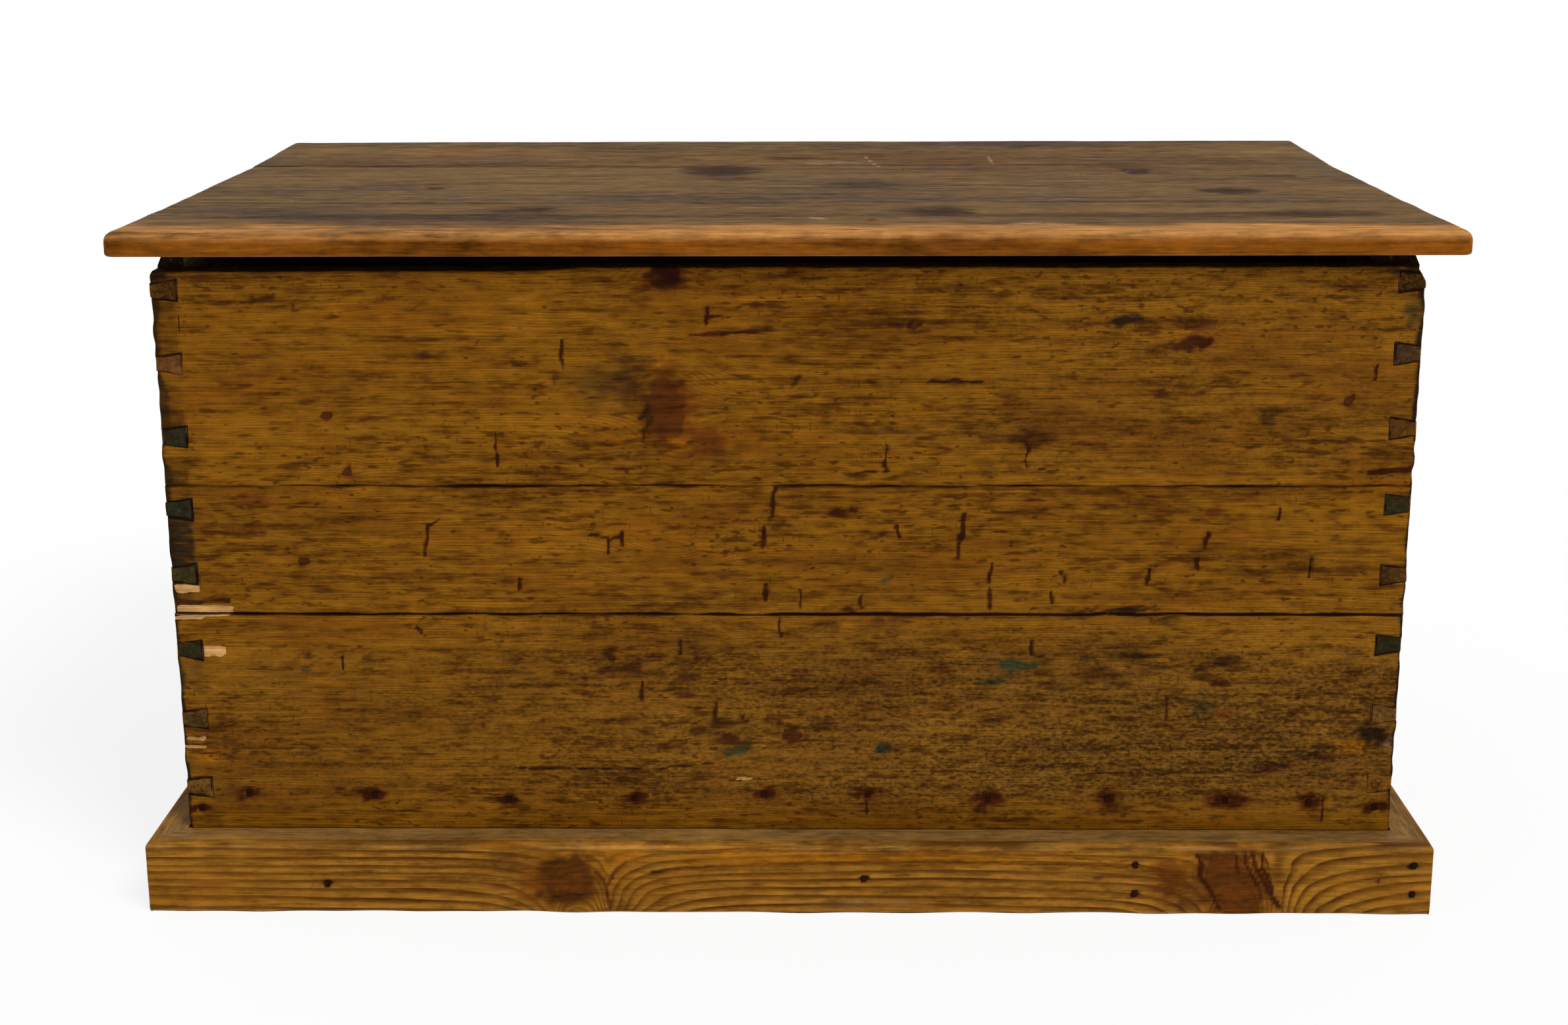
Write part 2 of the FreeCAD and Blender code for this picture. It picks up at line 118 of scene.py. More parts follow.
# Stains, paint and bare spots, and two spots of painted shade: middle x and z, half width and
# height, finish and cover.
FRONT_SPOTS = (
    (-84, 388, 36, 44, FOX, 0.3), (-128, 410, 34, 20, OLIVE, 0.25), (-138, 420, 30, 14, MURK, 0.42),
    (-88, 499, 13, 9, OXBLOOD, 0.97), (-119, 413, 12, 20, BROWN, 0.42),
    (-90, 400, 11, 24, CHESTNUT, 0.85), (-105, 388, 4.5, 20, SOOT_AND_SHADE, 0.7),
    (-112, 432, 16, 7, MURK, 0.5), (-57, 371, 15, 12, FOX, 0.85), (-57, 370, 11, 8, BROWN, 0.35),
    (-82, 369, 10, 7, OCHRE, 0.6), (-92, 437, 6, 6, OCHRE, 0.5),
    (-71, 396, 5, 22, FOX, 0.5), (-57, 353.5, 10, 2, RUST, 0.6), (-107, 484, 12, 16, FOX, 0.38),
    (-362, 475, 6, 3, BROWN, 0.8), (-267, 439, 13, 4, BROWN, 0.7), (-25, 476, 13, 2.5, BROWN, 0.8),
    (-18, 458, 12, 3, BROWN, 0.75), (-275, 475, 6, 2, BROWN, 0.6), (-172, 421, 3, 6, BROWN, 0.5),
    (252, 466, 10, 5, SLATE, 0.95), (303, 448, 11, 7, MAHOGANY, 0.85),
    (290, 446, 17, 3.5, BROWN, 0.6), (262, 464, 12, 3.5, SOOT_AND_SHADE, 0.6), (285, 445, 14, 3, BROWN, 0.5),
    (5, 418, 4, 5, RUST, 0.7), (80, 461, 10, 4, BROWN, 0.6), (72, 380, 30, 4, MURK, 0.55),
    (360, 390, 8, 9, MURK, 0.8), (372, 398, 8, 4, BROWN, 0.5), (310, 410, 5, 3, BROWN, 0.6),
    (185, 377, 18, 4, BROWN, 0.45), (152, 350, 6, 12, MURK, 0.45), (125, 490, 14, 3, BROWN, 0.45),
    (370, 483, 14, 4, BROWN, 0.4), (325, 490, 6, 3, BROWN, 0.5), (10, 394, 20, 3, BROWN, 0.4),
    (268, 240, 20, 3, SOOT_AND_SHADE, 0.75), (240, 237.5, 30, 1.6, SOOT_AND_SHADE, 0.8), (290, 231, 22, 3, MURK, 0.6),
    (177, 194, 16, 5, GREEN, 0.95), (157, 180, 12, 3.5, OLIVE, 0.6), (160, 190, 30, 18, GREEN, 0.2),
    (265, 202, 22, 4, SOOT_AND_SHADE, 0.62), (228, 199, 7, 2.5, OLIVE, 0.8), (334, 179.5, 9, 3, RUST, 0.85),
    (318, 157, 13, 5, OLIVE, 0.72), (322, 166, 17, 8, OLIVE, 0.3), (75, 126, 8, 4.5, TEAL, 0.9),
    (-40, 123, 11, 4, GREEN, 0.9), (-33, 127, 8, 3, OLIVE, 0.7), (415, 119, 20, 4.5, BROWN, 0.8),
    (372, 109, 18, 6, BROWN, 0.5), (188, 161, 9, 5, BROWN, 0.5), (227, 155, 10, 3, BROWN, 0.45),
    (388, 154, 4, 5, BROWN, 0.6), (201, 178, 6, 5, BROWN, 0.6), (76, 264, 3, 6, GREEN, 0.6),
    (265, 264, 6, 4, RUST, 0.4), (45, 257, 8, 3, BROWN, 0.5), (-322, 200, 7, 5, BROWN, 0.6),
    (-330, 154, 6, 4, RUST, 0.6), (-205, 156, 9, 2.5, RUST, 0.6), (-236, 144, 5, 6, BROWN, 0.6),
    (-372, 190, 5, 4, OLIVE, 0.5), (-150, 129, 6, 7, BROWN, 0.5), (-52, 147, 10, 5, BROWN, 0.6),
    (-215, 180, 28, 14, MURK, 0.22), (-50, 140, 36, 22, MURK, 0.3), (-70, 215, 30, 12, MURK, 0.3),
    (60, 195, 60, 30, MURK, 0.24), (250, 190, 90, 40, MURK, 0.2), (-433, 132, 8, 6, BROWN, 0.5),
    (150, 380, 70, 14, MURK, 0.2), (235, 382, 60, 12, FOX, 0.3), (-400, 185, 40, 20, OLIVE, 0.16),
    (-345, 100, 26, 10, MURK, 0.22), (0, 280, 40, 8, FOX, 0.3), (190, 320, 26, 12, FOX, 0.4),
    (-30, 170, 300, 4, MURK, 0.12), (452, 136, 14, 13, SOOT_AND_SHADE, 0.85), (438, 128, 12, 8, OCHRE, 0.5),
    (464, 130, 3, 6, ASH, 0.3), (-461, 263, 12, 12, PITCH_GREEN, 0.95),
    (-462, 288, 11, 24, PITCH_GREEN, 0.85), (-464, 304, 10, 8, PITCH_GREEN, 0.8),
    (-452, 118, 10, 7, OCHRE, 0.5), (-440, 92, 24, 14, OLIVE, 0.3),
    # The two soot spots at the top corners, at z 499 and 500, are painted shade under the lid's
    # edge.
    (463, 470, 10, 12, OLIVE, 0.55), (455, 500, 20, 6, SOOT_AND_SHADE, 0.6), (-466, 499, 8, 8, SOOT_AND_SHADE, 0.8),
    (463, 350, 6, 3, RUST, 0.6))
# Pale broken wood: middle x and z, half width and half height, in millimetres.
FRONT_BARE = ((-447, 238, 21, 4.3), (-459, 256, 9, 3.4), (-442, 205, 9, 4.2),
              (-461, 231.5, 14, 1.2), (-462, 126, 8, 1.6), (-460, 133, 7, 1.3),
              (-34, 100, 7, 1.1))
BROKEN_KNOT = ((455, 135, 13, 9),)
SCRIBE_LINE = ((450.5, 470, 450.5, 458, 0.8),)      # x is measured to the left
FRONT_NAILS = ((-460, 74.5), (-422, 87), (-323, 86), (-218, 82), (-119, 83.5), (-18, 87), (63, 87),
               (157, 83), (250, 83.5), (342, 82), (407, 81), (458, 77))
# The stain round each of those nails: half width and half height.
NAIL_STAINS = ((9, 3), (8, 4), (9, 4.5), (8, 4.5), (10, 4.5), (8, 4.5), (8, 3.5), (12, 6),
               (9, 8), (15, 5.5), (9, 6.5), (10, 4))


def ease(share):
    """A smooth step: 0 below 0, 1 above 1, and 3 t squared less 2 t cubed between."""
    t = np.clip(share, 0.0, 1.0)
    return t * t * (3.0 - 2.0 * t)


def worn(distance, reach):
    """How worn a place is beside an edge: 1 less its distance over a reach in millimetres,
    and 0 beyond that."""
    return 1 - np.clip(distance / (reach * MM), 0, 1)


def settled(distance, start, reach):
    """How much dirt has settled beside a joint: a start less the distance over a reach in
    millimetres, held between 0 and 1."""
    return np.clip(start - distance / (reach * MM), 0, 1)


def waves(places, size, seed, count=14):
    """Uneven smooth values of about -1 to 1: a sum of sines along random directions, with
    wavelengths near the size given for each axis, over the root of half their number."""
    rng = np.random.default_rng(seed)
    turn = rng.normal(size=(count, 3))
    turn /= np.linalg.norm(turn, axis=1)[:, None]
    rate = turn * (2 * math.pi / np.asarray(size)) * rng.uniform(0.6, 1.6, (count, 1))
    start = rng.uniform(0, 2 * math.pi, count)
    return np.sin(places @ rate.T + start).sum(-1) / math.sqrt(count / 2)


def stations(low, high, step, close=EDGE_ROWS):
    """Places from low to high about a step apart, and closer beside both ends."""
    count = max(1, round((high - low - 2 * close[-1]) / step))
    middle = np.linspace(low + close[-1], high - close[-1], count + 1)
    return np.concatenate([low + close[:-1], middle, (high - close[:-1])[::-1]])


def slab(outer, inner, kept, shares):
    """A board as one closed skin. The outer and inner faces are one grid of places each, less
    the cells not kept, and at every border a wall crosses the thickness, where
    place = outer + share * (inner - outer). Gives the places, each one's share across the
    thickness, its number in the grid, and the four-sided faces."""
    rows, cols = outer.shape[:2]
    count = rows * cols
    number = np.arange(count).reshape(rows, cols)
    corners = (number[:-1, :-1], number[:-1, 1:], number[1:, 1:], number[1:, :-1])
    face = np.stack(corners, -1)[kept]
    ring = np.pad(kept, 1)
    beside = (ring[:-2, 1:-1], ring[1:-1, 2:], ring[2:, 1:-1], ring[1:-1, :-2])
    starts, ends = [], []
    for side in range(4):
        border = kept & ~beside[side]
        starts.append(corners[side][border])
        ends.append(corners[(side + 1) % 4][border])
    start, end = np.concatenate(starts), np.concatenate(ends)
    rim = np.unique(start)
    slot = np.zeros(count, int)
    slot[rim] = np.arange(len(rim))
    flat_outer, flat_inner = outer.reshape(-1, 3), inner.reshape(-1, 3)
    places, share = [flat_outer, flat_inner], [np.zeros(count), np.ones(count)]
    source = [np.arange(count), np.arange(count)]
    quads, above_start, above_end = [face, face[:, ::-1] + count], start, end
    for layer, part in enumerate(tuple(shares) + (1.0,)):
        if layer < len(shares):
            base = 2 * count + layer * len(rim)
            below_start, below_end = base + slot[start], base + slot[end]
            places.append(flat_outer[rim] + part * (flat_inner[rim] - flat_outer[rim]))
            share.append(np.full(len(rim), part))
            source.append(rim)
        else:
            below_start, below_end = start + count, end + count
        quads.append(np.stack([above_end, above_start, below_start, below_end], -1))
        above_start, above_end = below_start, below_end
    quads = np.concatenate(quads)
    used, quads = np.unique(quads, return_inverse=True)
    quads = quads.reshape(-1, 4)
    return (np.concatenate(places)[used], np.concatenate(share)[used],
            np.concatenate(source)[used], quads)


def gathered(field, source, way=slice(None)):
    """A field of the face's grid, picked up for every place of a slab made from that grid with
    its columns taken in the same way."""
    return field[:, way].reshape((-1,) + field.shape[2:])[source]


def skin_deep(share, rate=6):
    """How much of the face's own finish a place has: 1 less its share of the thickness times a
    rate, and never under 0."""
    return np.clip(1 - share * rate, 0, 1)


def oval_field(u, v, ovals, spread=2.0, power=2):
    """How near each place is to a set of ovals in millimetres: 1 at a middle, falling evenly to
    0 at `spread` half sizes, where |u|^power + |v|^power is the distance to the same power."""
    depth = np.zeros_like(u)
    for middle_u, middle_v, wide, tall in ovals:
        reach = (abs((u - middle_u * MM) / (wide * MM)) ** power
                 + abs((v - middle_v * MM) / (tall * MM)) ** power) ** (1 / power)
        depth = np.maximum(depth, 1.0 - reach / spread)
    return depth


def spotted(u, v, spots):
    """The colour and cover of a set of spots laid over one another. Each cover is the given
    amount times e to the minus fourth power of the distance in half sizes."""
    cover = np.zeros(u.shape + (4,))
    for su, sv, wide, tall, finish, amount in spots:
        reach = ((u - su * MM) / (wide * MM)) ** 2 + ((v - sv * MM) / (tall * MM)) ** 2
        part = (amount * np.exp(-reach ** 2))[..., None]
        rest = cover[..., 3:] * (1 - part)
        total = part + rest
        colour = np.array(tone(finish)[:3]) * part + cover[..., :3] * rest
        cover[..., :3] = colour / np.maximum(total, 1e-6)
        cover[..., 3:] = total
    return cover


def laid(tint, finish, cover):
    """A finish laid over a tint, with its cover from 0 to 1 at each place."""
    cover = np.clip(cover, 0, 1)[..., None]
    return tint * (1 - cover) + np.array(tone(finish)) * cover


def cracked(u, v, cracks):
    """How far each place is inside a crack: 1 on its line, falling to 0 at its width."""
    depth = np.zeros_like(u)
    for u0, v0, u1, v1, width in cracks:
        du, dv = (u1 - u0) * MM, (v1 - v0) * MM
        along = np.clip(((u - u0 * MM) * du + (v - v0 * MM) * dv) / (du * du + dv * dv), 0, 1)
        off = np.hypot(u - u0 * MM - along * du, v - v0 * MM - along * dv)
        depth = np.maximum(depth, 1.0 - off / (width * MM))
    return depth


def tone(colour):
    """A screen colour of 0 to 255 as the linear colour that a shader takes."""
    share = np.asarray(colour[:3]) / 255.0
    linear = np.where(share <= 0.04045, share / 12.92, ((share + 0.055) / 1.055) ** 2.4)
    return tuple(float(x) for x in linear) + (1.0,)


def deeper(colour, factor):
    """A screen colour times a factor, as the linear colour that a shader takes."""
    return tone([part * factor for part in colour])


def timber(name, skin, axes, pith, lean, knots, sag, fields, number):
    """A board's object. In the log, a place has its distance along the grain, across the face
    and through the thickness. Its ring is its distance from the pith, which leans, plus the
    sag. Rings part round each knot by tanh of the distance across times e to the minus squared
    distance along."""
    places, quads = skin
    u, v, w = (places[:, axis] for axis in axes)
    pith_v, pith_w = pith[0] + lean[0] * u, pith[1] + lean[1] * u
    ring = np.hypot(v - pith_v, w - pith_w)
    ring += sag + 1.2 * MM * waves(places, (0.5, 0.5, 0.5), number)
    for ku, kv, wide, tall in knots:
        along, across = (u - ku * MM) / (3 * wide * MM), (v - kv * MM) / (tall * MM)
        away = np.sign(kv * MM - pith[0]) * 0.9 * tall * MM
        ring -= away * np.exp(-along ** 2 - abs(across) / 5) * np.tanh(1.2 * across)
    log = np.stack([u + 1.7 * number, v + 0.9 * number, w], -1)
    mesh = bpy.data.meshes.new(name)
    mesh.vertices.add(len(places))
    mesh.vertices.foreach_set("co", places.astype(np.float32).ravel())
    mesh.loops.add(quads.size)
    mesh.loops.foreach_set("vertex_index", quads.astype(np.int32).ravel())
    mesh.polygons.add(len(quads))
    mesh.polygons.foreach_set("loop_start", np.arange(0, quads.size, 4, dtype=np.int32))
    mesh.update(calc_edges=True)
    mesh.validate()
    mesh.shade_smooth()
    kinds = {"log": ("FLOAT_VECTOR", "vector", log), "ring": ("FLOAT", "value", ring),
             "knot": ("FLOAT", "value", fields["knot"]),
             "wear": ("FLOAT_COLOR", "color", fields["wear"]),
             "tint": ("FLOAT_COLOR", "color", fields["tint"])}
    for label, (kind, key, values) in kinds.items():
        layer = mesh.attributes.new(label, kind, "POINT")
        layer.data.foreach_set(key, np.asarray(values, np.float32).ravel())
    piece = bpy.data.objects.new(name, mesh)
    bpy.context.scene.collection.objects.link(piece)
    return piece


def wear_field(groove, bare, crowd, dry):
    """The four kinds of wear as one colour: open joints, broken wood, dark specks, dryness."""
    return np.stack(np.broadcast_arrays(groove, bare, crowd, dry), -1).astype(float)


def wired(tree, kind, inputs=(), **settings):
    """A shader node with its settings, and its inputs as values or as sockets to link."""
    made = tree.nodes.new(kind)
    for key, value in settings.items():
        setattr(made, key, value)
    for key, value in dict(inputs).items():
        if isinstance(value, bpy.types.NodeSocket):
            tree.links.new(value, made.inputs[key])
        else:
            made.inputs[key].default_value = value
    return made


def calc(tree, kind, a, b=0.0, c=0.0):
    """One step of arithmetic on the surface, on two values or three."""
    return wired(tree, "ShaderNodeMath", {0: a, 1: b, 2: c}, operation=kind).outputs[0]


def swing(tree, value, amount, base):
    """A noise's swing about its middle, times an amount, on top of a base."""
    return calc(tree, "ADD", calc(tree, "MULTIPLY_ADD", value, amount, -0.5 * amount), base)


def fade(tree, value, low, high):
    """0 where a value is under low, 1 where it is over high, and smooth between."""
    made = wired(tree, "ShaderNodeMapRange", {0: value, 1: low, 2: high},
                 interpolation_type="SMOOTHSTEP")
    return made.outputs[0]


def grain_noise(tree, place, rate, detail=2.0, rough=0.5):
    """Noise whose cells per metre are given along, across and through the grain."""
    scaled = wired(tree, "ShaderNodeVectorMath", {0: place, 1: rate}, operation="MULTIPLY")
    made = wired(tree, "ShaderNodeTexNoise", {"Vector": scaled.outputs[0], "Scale": 1.0,
                                              "Detail": detail, "Roughness": rough})
    return made.outputs[0]


def mixed(tree, share, a, b):
    """Colour a turned towards colour b by a share."""
    made = wired(tree, "ShaderNodeMix", {0: share, 6: a, 7: b}, data_type="RGBA")
    return made.outputs[2]


def brighter(tree, colour, factor):
    """A colour times a factor."""
    made = wired(tree, "ShaderNodeVectorMath", {0: colour, 3: factor}, operation="SCALE")
    return made.outputs[0]


def pine(name, early, late, flush, knot=(64, 28, 8), ring=2.2, rings=0.5, streaks=1.2,
         specks=1.0, dry=(176, 138, 92), rough=0.5, shine=0.03, bump=0.5, speck_tone=(48, 21, 3),
         drift=7.0, grime=(82, 60, 24), clouds=1.0):
    """Old pine. Rings are dark sawtooth bands of the ring distance, and fibres, threads, streaks
    and clouds are noise stretched along the log. Dark marks are the tails of more noise."""
    made = bpy.data.materials.new(name)
    made.use_nodes = True
    tree = made.node_tree
    tree.nodes.clear()
    log = wired(tree, "ShaderNodeAttribute", attribute_name="log").outputs["Vector"]
    distance = wired(tree, "ShaderNodeAttribute", attribute_name="ring").outputs["Fac"]
    depth = wired(tree, "ShaderNodeAttribute", attribute_name="knot").outputs["Fac"]
    wear = wired(tree, "ShaderNodeAttribute", attribute_name="wear")
    tint = wired(tree, "ShaderNodeAttribute", attribute_name="tint")
    kinds = wired(tree, "ShaderNodeSeparateColor", {0: wear.outputs["Color"]})
    groove, bare, crowd = kinds.outputs[0], kinds.outputs[1], kinds.outputs[2]
    dryness = wear.outputs["Alpha"]

    # The grain's noises, from the broadest to the finest along the board.
    cloud = grain_noise(tree, log, (4, 16, 16), 3.0)
    streak = grain_noise(tree, log, (6, 120, 120), 3.0, 0.6)
    thread = grain_noise(tree, log, (17, 430, 430), 3.0, 0.62)
    fibre = grain_noise(tree, log, (55, 1200, 1200), 2.0, 0.6)
    wander = grain_noise(tree, log, (4, 34, 34), 2.0)
    blush = grain_noise(tree, log, (9, 34, 34), 3.0, 0.55)
    smear = grain_noise(tree, log, (60, 240, 240), 3.0, 0.6)
    patchwork = grain_noise(tree, log, (50, 130, 130), 3.0, 0.6)
    speckle = grain_noise(tree, log, (240, 420, 420), 3.0, 0.6)

    # Early and late wood, and how light or dark each place is.
    turns = calc(tree, "DIVIDE", swing(tree, wander, drift * ring * MM, distance), ring * MM)
    phase = calc(tree, "FRACT", turns)
    band = calc(tree, "MULTIPLY", fade(tree, phase, 0.25, 0.88),
                calc(tree, "SUBTRACT", 1.0, fade(tree, phase, 0.90, 1.0)))
    strength = calc(tree, "MAXIMUM", calc(tree, "MULTIPLY_ADD", streak, 1.8, rings - 0.9), 0.05)
    lateness = calc(tree, "MULTIPLY", band, strength)
    shade = swing(tree, cloud, clouds, swing(tree, streak, streaks, 1.0))
    shade = swing(tree, thread, 1.3, swing(tree, fibre, 0.8, shade))
    shade = swing(tree, patchwork, 1.5, shade)
    mottle = calc(tree, "MULTIPLY", calc(tree, "SUBTRACT", speckle, 0.5), crowd)
    shade = calc(tree, "MULTIPLY_ADD", mottle, 2.2, shade)
    shade = calc(tree, "MAXIMUM", shade, 0.3)
    wood = mixed(tree, lateness, tone(early), tone(late))
    reddened = calc(tree, "MULTIPLY", fade(tree, blush, 0.44, 0.68), 0.5)
    shaded = calc(tree, "SUBTRACT", 0.7, calc(tree, "MULTIPLY", fade(tree, shade, 0.5, 1.1), 0.7))
    wood = mixed(tree, calc(tree, "MAXIMUM", reddened, shaded), wood, tone(flush))
    wood = mixed(tree, calc(tree, "MULTIPLY", crowd, 0.35), wood, tone(grime))
    old = mixed(tree, lateness, tone(dry), deeper(dry, 0.8))
    wood = mixed(tree, dryness, wood, old)

    # Knots: reddened wood round them, and a heart with rings of its own inside a dark bark.
    near_knot = fade(tree, depth, 0.0, 0.52)
    wood = mixed(tree, calc(tree, "MULTIPLY", near_knot, 0.45), wood, tone(flush))
    inside = fade(tree, swing(tree, blush, 0.3, depth), 0.28, 0.64)
    knot_rings = calc(tree, "FRACT", calc(tree, "MULTIPLY", swing(tree, smear, 0.1, depth), 7.0))
    heart = mixed(tree, fade(tree, knot_rings, 0.2, 0.9), tone(knot), deeper(knot, 0.75))
    bark = calc(tree, "SUBTRACT", fade(tree, depth, 0.38, 0.5), fade(tree, depth, 0.54, 0.7))
    heart = mixed(tree, bark, heart, deeper(knot, 0.7))
    knot_cover = calc(tree, "MULTIPLY_ADD", dryness, -0.4, 0.85)
    wood = mixed(tree, calc(tree, "MULTIPLY", inside, knot_cover), wood, heart)
    wood = brighter(tree, wood, shade)

    # Stains and paint, broken up by the smears, and then specks of dirt.
    patchy = calc(tree, "MULTIPLY", calc(tree, "MULTIPLY_ADD", smear, 1.8, 0.1),
                  tint.outputs["Alpha"])
    cover = calc(tree, "MULTIPLY", fade(tree, patchy, 0.0, 0.9), 0.95)
    wood = mixed(tree, cover, wood, brighter(tree, tint.outputs["Color"], shade))

    dash = grain_noise(tree, log, (52, 230, 230), 1.6, 0.5)
    dot = grain_noise(tree, log, (120, 260, 260), 1.0, 0.5)
    tick = grain_noise(tree, log, (520, 90, 90), 1.5, 0.5)
    gather = grain_noise(tree, log, (7, 18, 18), 3.0, 0.6)
    dense = swing(tree, gather, 0.4, calc(tree, "MULTIPLY", crowd, 0.015))
    dashes = fade(tree, calc(tree, "ADD", dash, dense), 0.57, 0.76)
    dots = fade(tree, calc(tree, "ADD", dot, dense), 0.64, 0.78)
    ticks = calc(tree, "MULTIPLY", fade(tree, calc(tree, "ADD", tick, dense), 0.68, 0.80), 0.7)
    marks = calc(tree, "MAXIMUM", dashes, calc(tree, "MAXIMUM", dots, ticks))
    marks = calc(tree, "MULTIPLY", marks, specks)
    wood = mixed(tree, calc(tree, "MULTIPLY", marks, 0.68), wood, tone(speck_tone))

    # Pale wood where it is broken, and black where it is open.
    torn = fade(tree, calc(tree, "ADD", bare, calc(tree, "MULTIPLY", speckle, 0.5)), 0.62, 0.8)
    pale = mixed(tree, lateness, tone(TAN), tone(HONEY))
    wood = mixed(tree, torn, wood, brighter(tree, pale, shade))
    open_line = fade(tree, calc(tree, "MULTIPLY_ADD", speckle, 0.5, groove), 0.55, 0.95)
    wood = mixed(tree, calc(tree, "MULTIPLY", open_line, 0.94), wood, tone(CRACK_BLACK))

    # Raised grain, and gloss that the dirt and dry wood have lost.
    height = calc(tree, "MULTIPLY_ADD", lateness, 0.35, calc(tree, "MULTIPLY", thread, 0.5))
    height = calc(tree, "MULTIPLY_ADD", fibre, 0.4, height)
    height = calc(tree, "MULTIPLY_ADD", marks, -0.6, calc(tree, "SUBTRACT", height, open_line))
    relief = wired(tree, "ShaderNodeBump", {"Strength": bump, "Distance": 0.6 * MM,
                                            "Height": height})
    gloss = calc(tree, "MULTIPLY_ADD", marks, 0.25, swing(tree, cloud, 0.4, rough))
    gloss = calc(tree, "MULTIPLY_ADD", dryness, 0.3, gloss)
    surface = wired(tree, "ShaderNodeBsdfPrincipled",
                    {"Base Color": wood, "Roughness": gloss, "Specular IOR Level": shine,
                     "Normal": relief.outputs[0]})
    wired(tree, "ShaderNodeOutputMaterial", {0: surface.outputs[0]})
    return made


def snapped(rows, side, half):
    """The rows' heights where some of them lie on the edges of the pins at one end: straight
    between those edges, with a row on either side of each at the width of its worn arris."""
    known_rows, known = [rows[0]], [rows[0]]
    for middle in reversed(PIN_MIDDLES[side]):
        for edge in (-1, 1):
            line = middle * MM + edge * half
            near = middle * MM + edge * (PIN_TIP + PIN_ROOT) / 4
            if rows[0] < near < rows[-1]:
                i = int(np.argmin(abs(rows - near)))
                known_rows += [rows[i - 1], rows[i], rows[i + 1]]
                known += [line - LIP * MM, line, line + LIP * MM]
    return np.interp(rows, known_rows + [rows[-1]], known + [rows[-1]])


def pin_rows(rows, side):
    """For every gap between rows, whether it lies in a pin of one end."""
    inside = np.zeros(len(rows) - 1, bool)
    for middle in PIN_MIDDLES[side]:
        low, high = (middle * MM + e * (PIN_TIP + PIN_ROOT) / 4 for e in (-1, 1))
        if rows[0] < low and high < rows[-1]:
            inside[int(np.argmin(abs(rows - low))):int(np.argmin(abs(rows - high)))] = True
    return inside


def pin_gap(x, z):
    """The distance from a place on the front to the nearest edge of a pin socket, negative
    inside one: the larger of the distances to the base line and to the wedge's sides."""
    nearest = np.full(np.shape(x), 1.0)
    for side in (-1, 1):
        out = side * x - BASE_LINE
        half = (PIN_ROOT - (PIN_ROOT - PIN_TIP) * np.clip(out / WALL, 0, 1)) / 2
        for middle in PIN_MIDDLES[side]:
            nearest = np.minimum(nearest, np.maximum(abs(z - middle * MM) - half, -out))
    return nearest


def front_edge(x):
    """The height of the front's worn top edge at x."""
    share = (x - WEAR_STEP[0]) / (WEAR_STEP[1] - WEAR_STEP[0])
    return FRONT_LOW_EDGE + (FRONT_HIGH_EDGE - FRONT_LOW_EDGE) * np.clip(share, 0, 1)


def chip(side, z):
    """How far the end is broken back at a top corner, as a straight line down to nothing."""
    wide, tall = CORNER_CHIP[side]
    return wide * np.clip(1 - (front_edge(side * CASE_END) - z) / tall, 0, 1)


def tail_grid(rows, cols):
    """The heights of a tail board's grid: level in the middle, and led to the pins' edges
    over the last stretch before the base line and along the wedges beyond it."""
    z = np.empty((len(rows), len(cols)))
    for side in (-1, 1):
        here = cols * side > 0
        beyond = cols[here] * side - BASE_LINE
        at_root, at_tip = (snapped(rows, side, half / 2) for half in (PIN_ROOT, PIN_TIP))
        near = ease((beyond + 14 * MM) / (14 * MM))
        out = np.clip(beyond / WALL, 0, 1)
        z[:, here] = rows[:, None] * (1 - near) + (at_root[:, None] * (1 - out)
                                                   + at_tip[:, None] * out) * near
    return z


def tail_cells(rows, cols):
    """Which cells of a tail board's grid are wood: all but those in the pins' sockets."""
    middle = (cols[:-1] + cols[1:]) / 2
    kept = np.ones((len(rows) - 1, len(cols) - 1), bool)
    for side in (-1, 1):
        kept[np.ix_(pin_rows(rows, side), middle * side > BASE_LINE)] = False
    return kept


def scattered(seed, u_range, v_range, count, finishes):
    """Spots of dirt in places drawn by chance: mostly small, and longer along the grain."""
    rng = np.random.default_rng(seed)
    spots = []
    for finish in rng.integers(0, len(finishes), count):
        size = rng.uniform(2, 4) + 6 * rng.random() ** 4
        spots.append((rng.uniform(*u_range) / MM, rng.uniform(*v_range) / MM,
                      size * rng.uniform(1.2, 3), size * 0.7, finishes[finish],
                      rng.uniform(0.35, 0.8)))
    return spots


end_cols = stations(BASE_LINE, CASE_END, 1.9 * MM, EDGE_ROWS[:3])


def front_cols(low, high):
    """Places along a front board, with three across each upright crack that it holds."""
    cracks = np.array([u0 * MM for u0, v0, u1 in (crack[:3] for crack in FRONT_CRACKS)
                       if abs(u1 - u0) < 8 and low < v0 * MM < high])
    fine = (cracks[:, None] + np.array((-1.0, 0, 1.0)) * MM).ravel()
    plain = stations(-BASE_LINE, BASE_LINE, 3.0 * MM, EDGE_ROWS[:3])[1:-1]
    plain = plain[abs(plain[:, None] - fine).min(1) > 0.7 * MM]
    return np.unique(np.round(np.concatenate([-end_cols[::-1], plain, fine, end_cols]), 5))


front_material = pine("front_pine_honey", (120, 77, 11), (94, 53, 4), (99, 52, 5), ring=2.1)
FRONT_BOARDS = {"front_bottom_board": (0.0, FRONT_JOINTS[0], (-0.16, 0.05), (0.012, 0.02)),
                "front_middle_board": (*FRONT_JOINTS, (0.46, 0.04), (-0.008, 0.01)),
                "front_top_board": (FRONT_JOINTS[1], FRONT_HIGH_EDGE, (0.72, -0.10), (0.01, 0.03))}


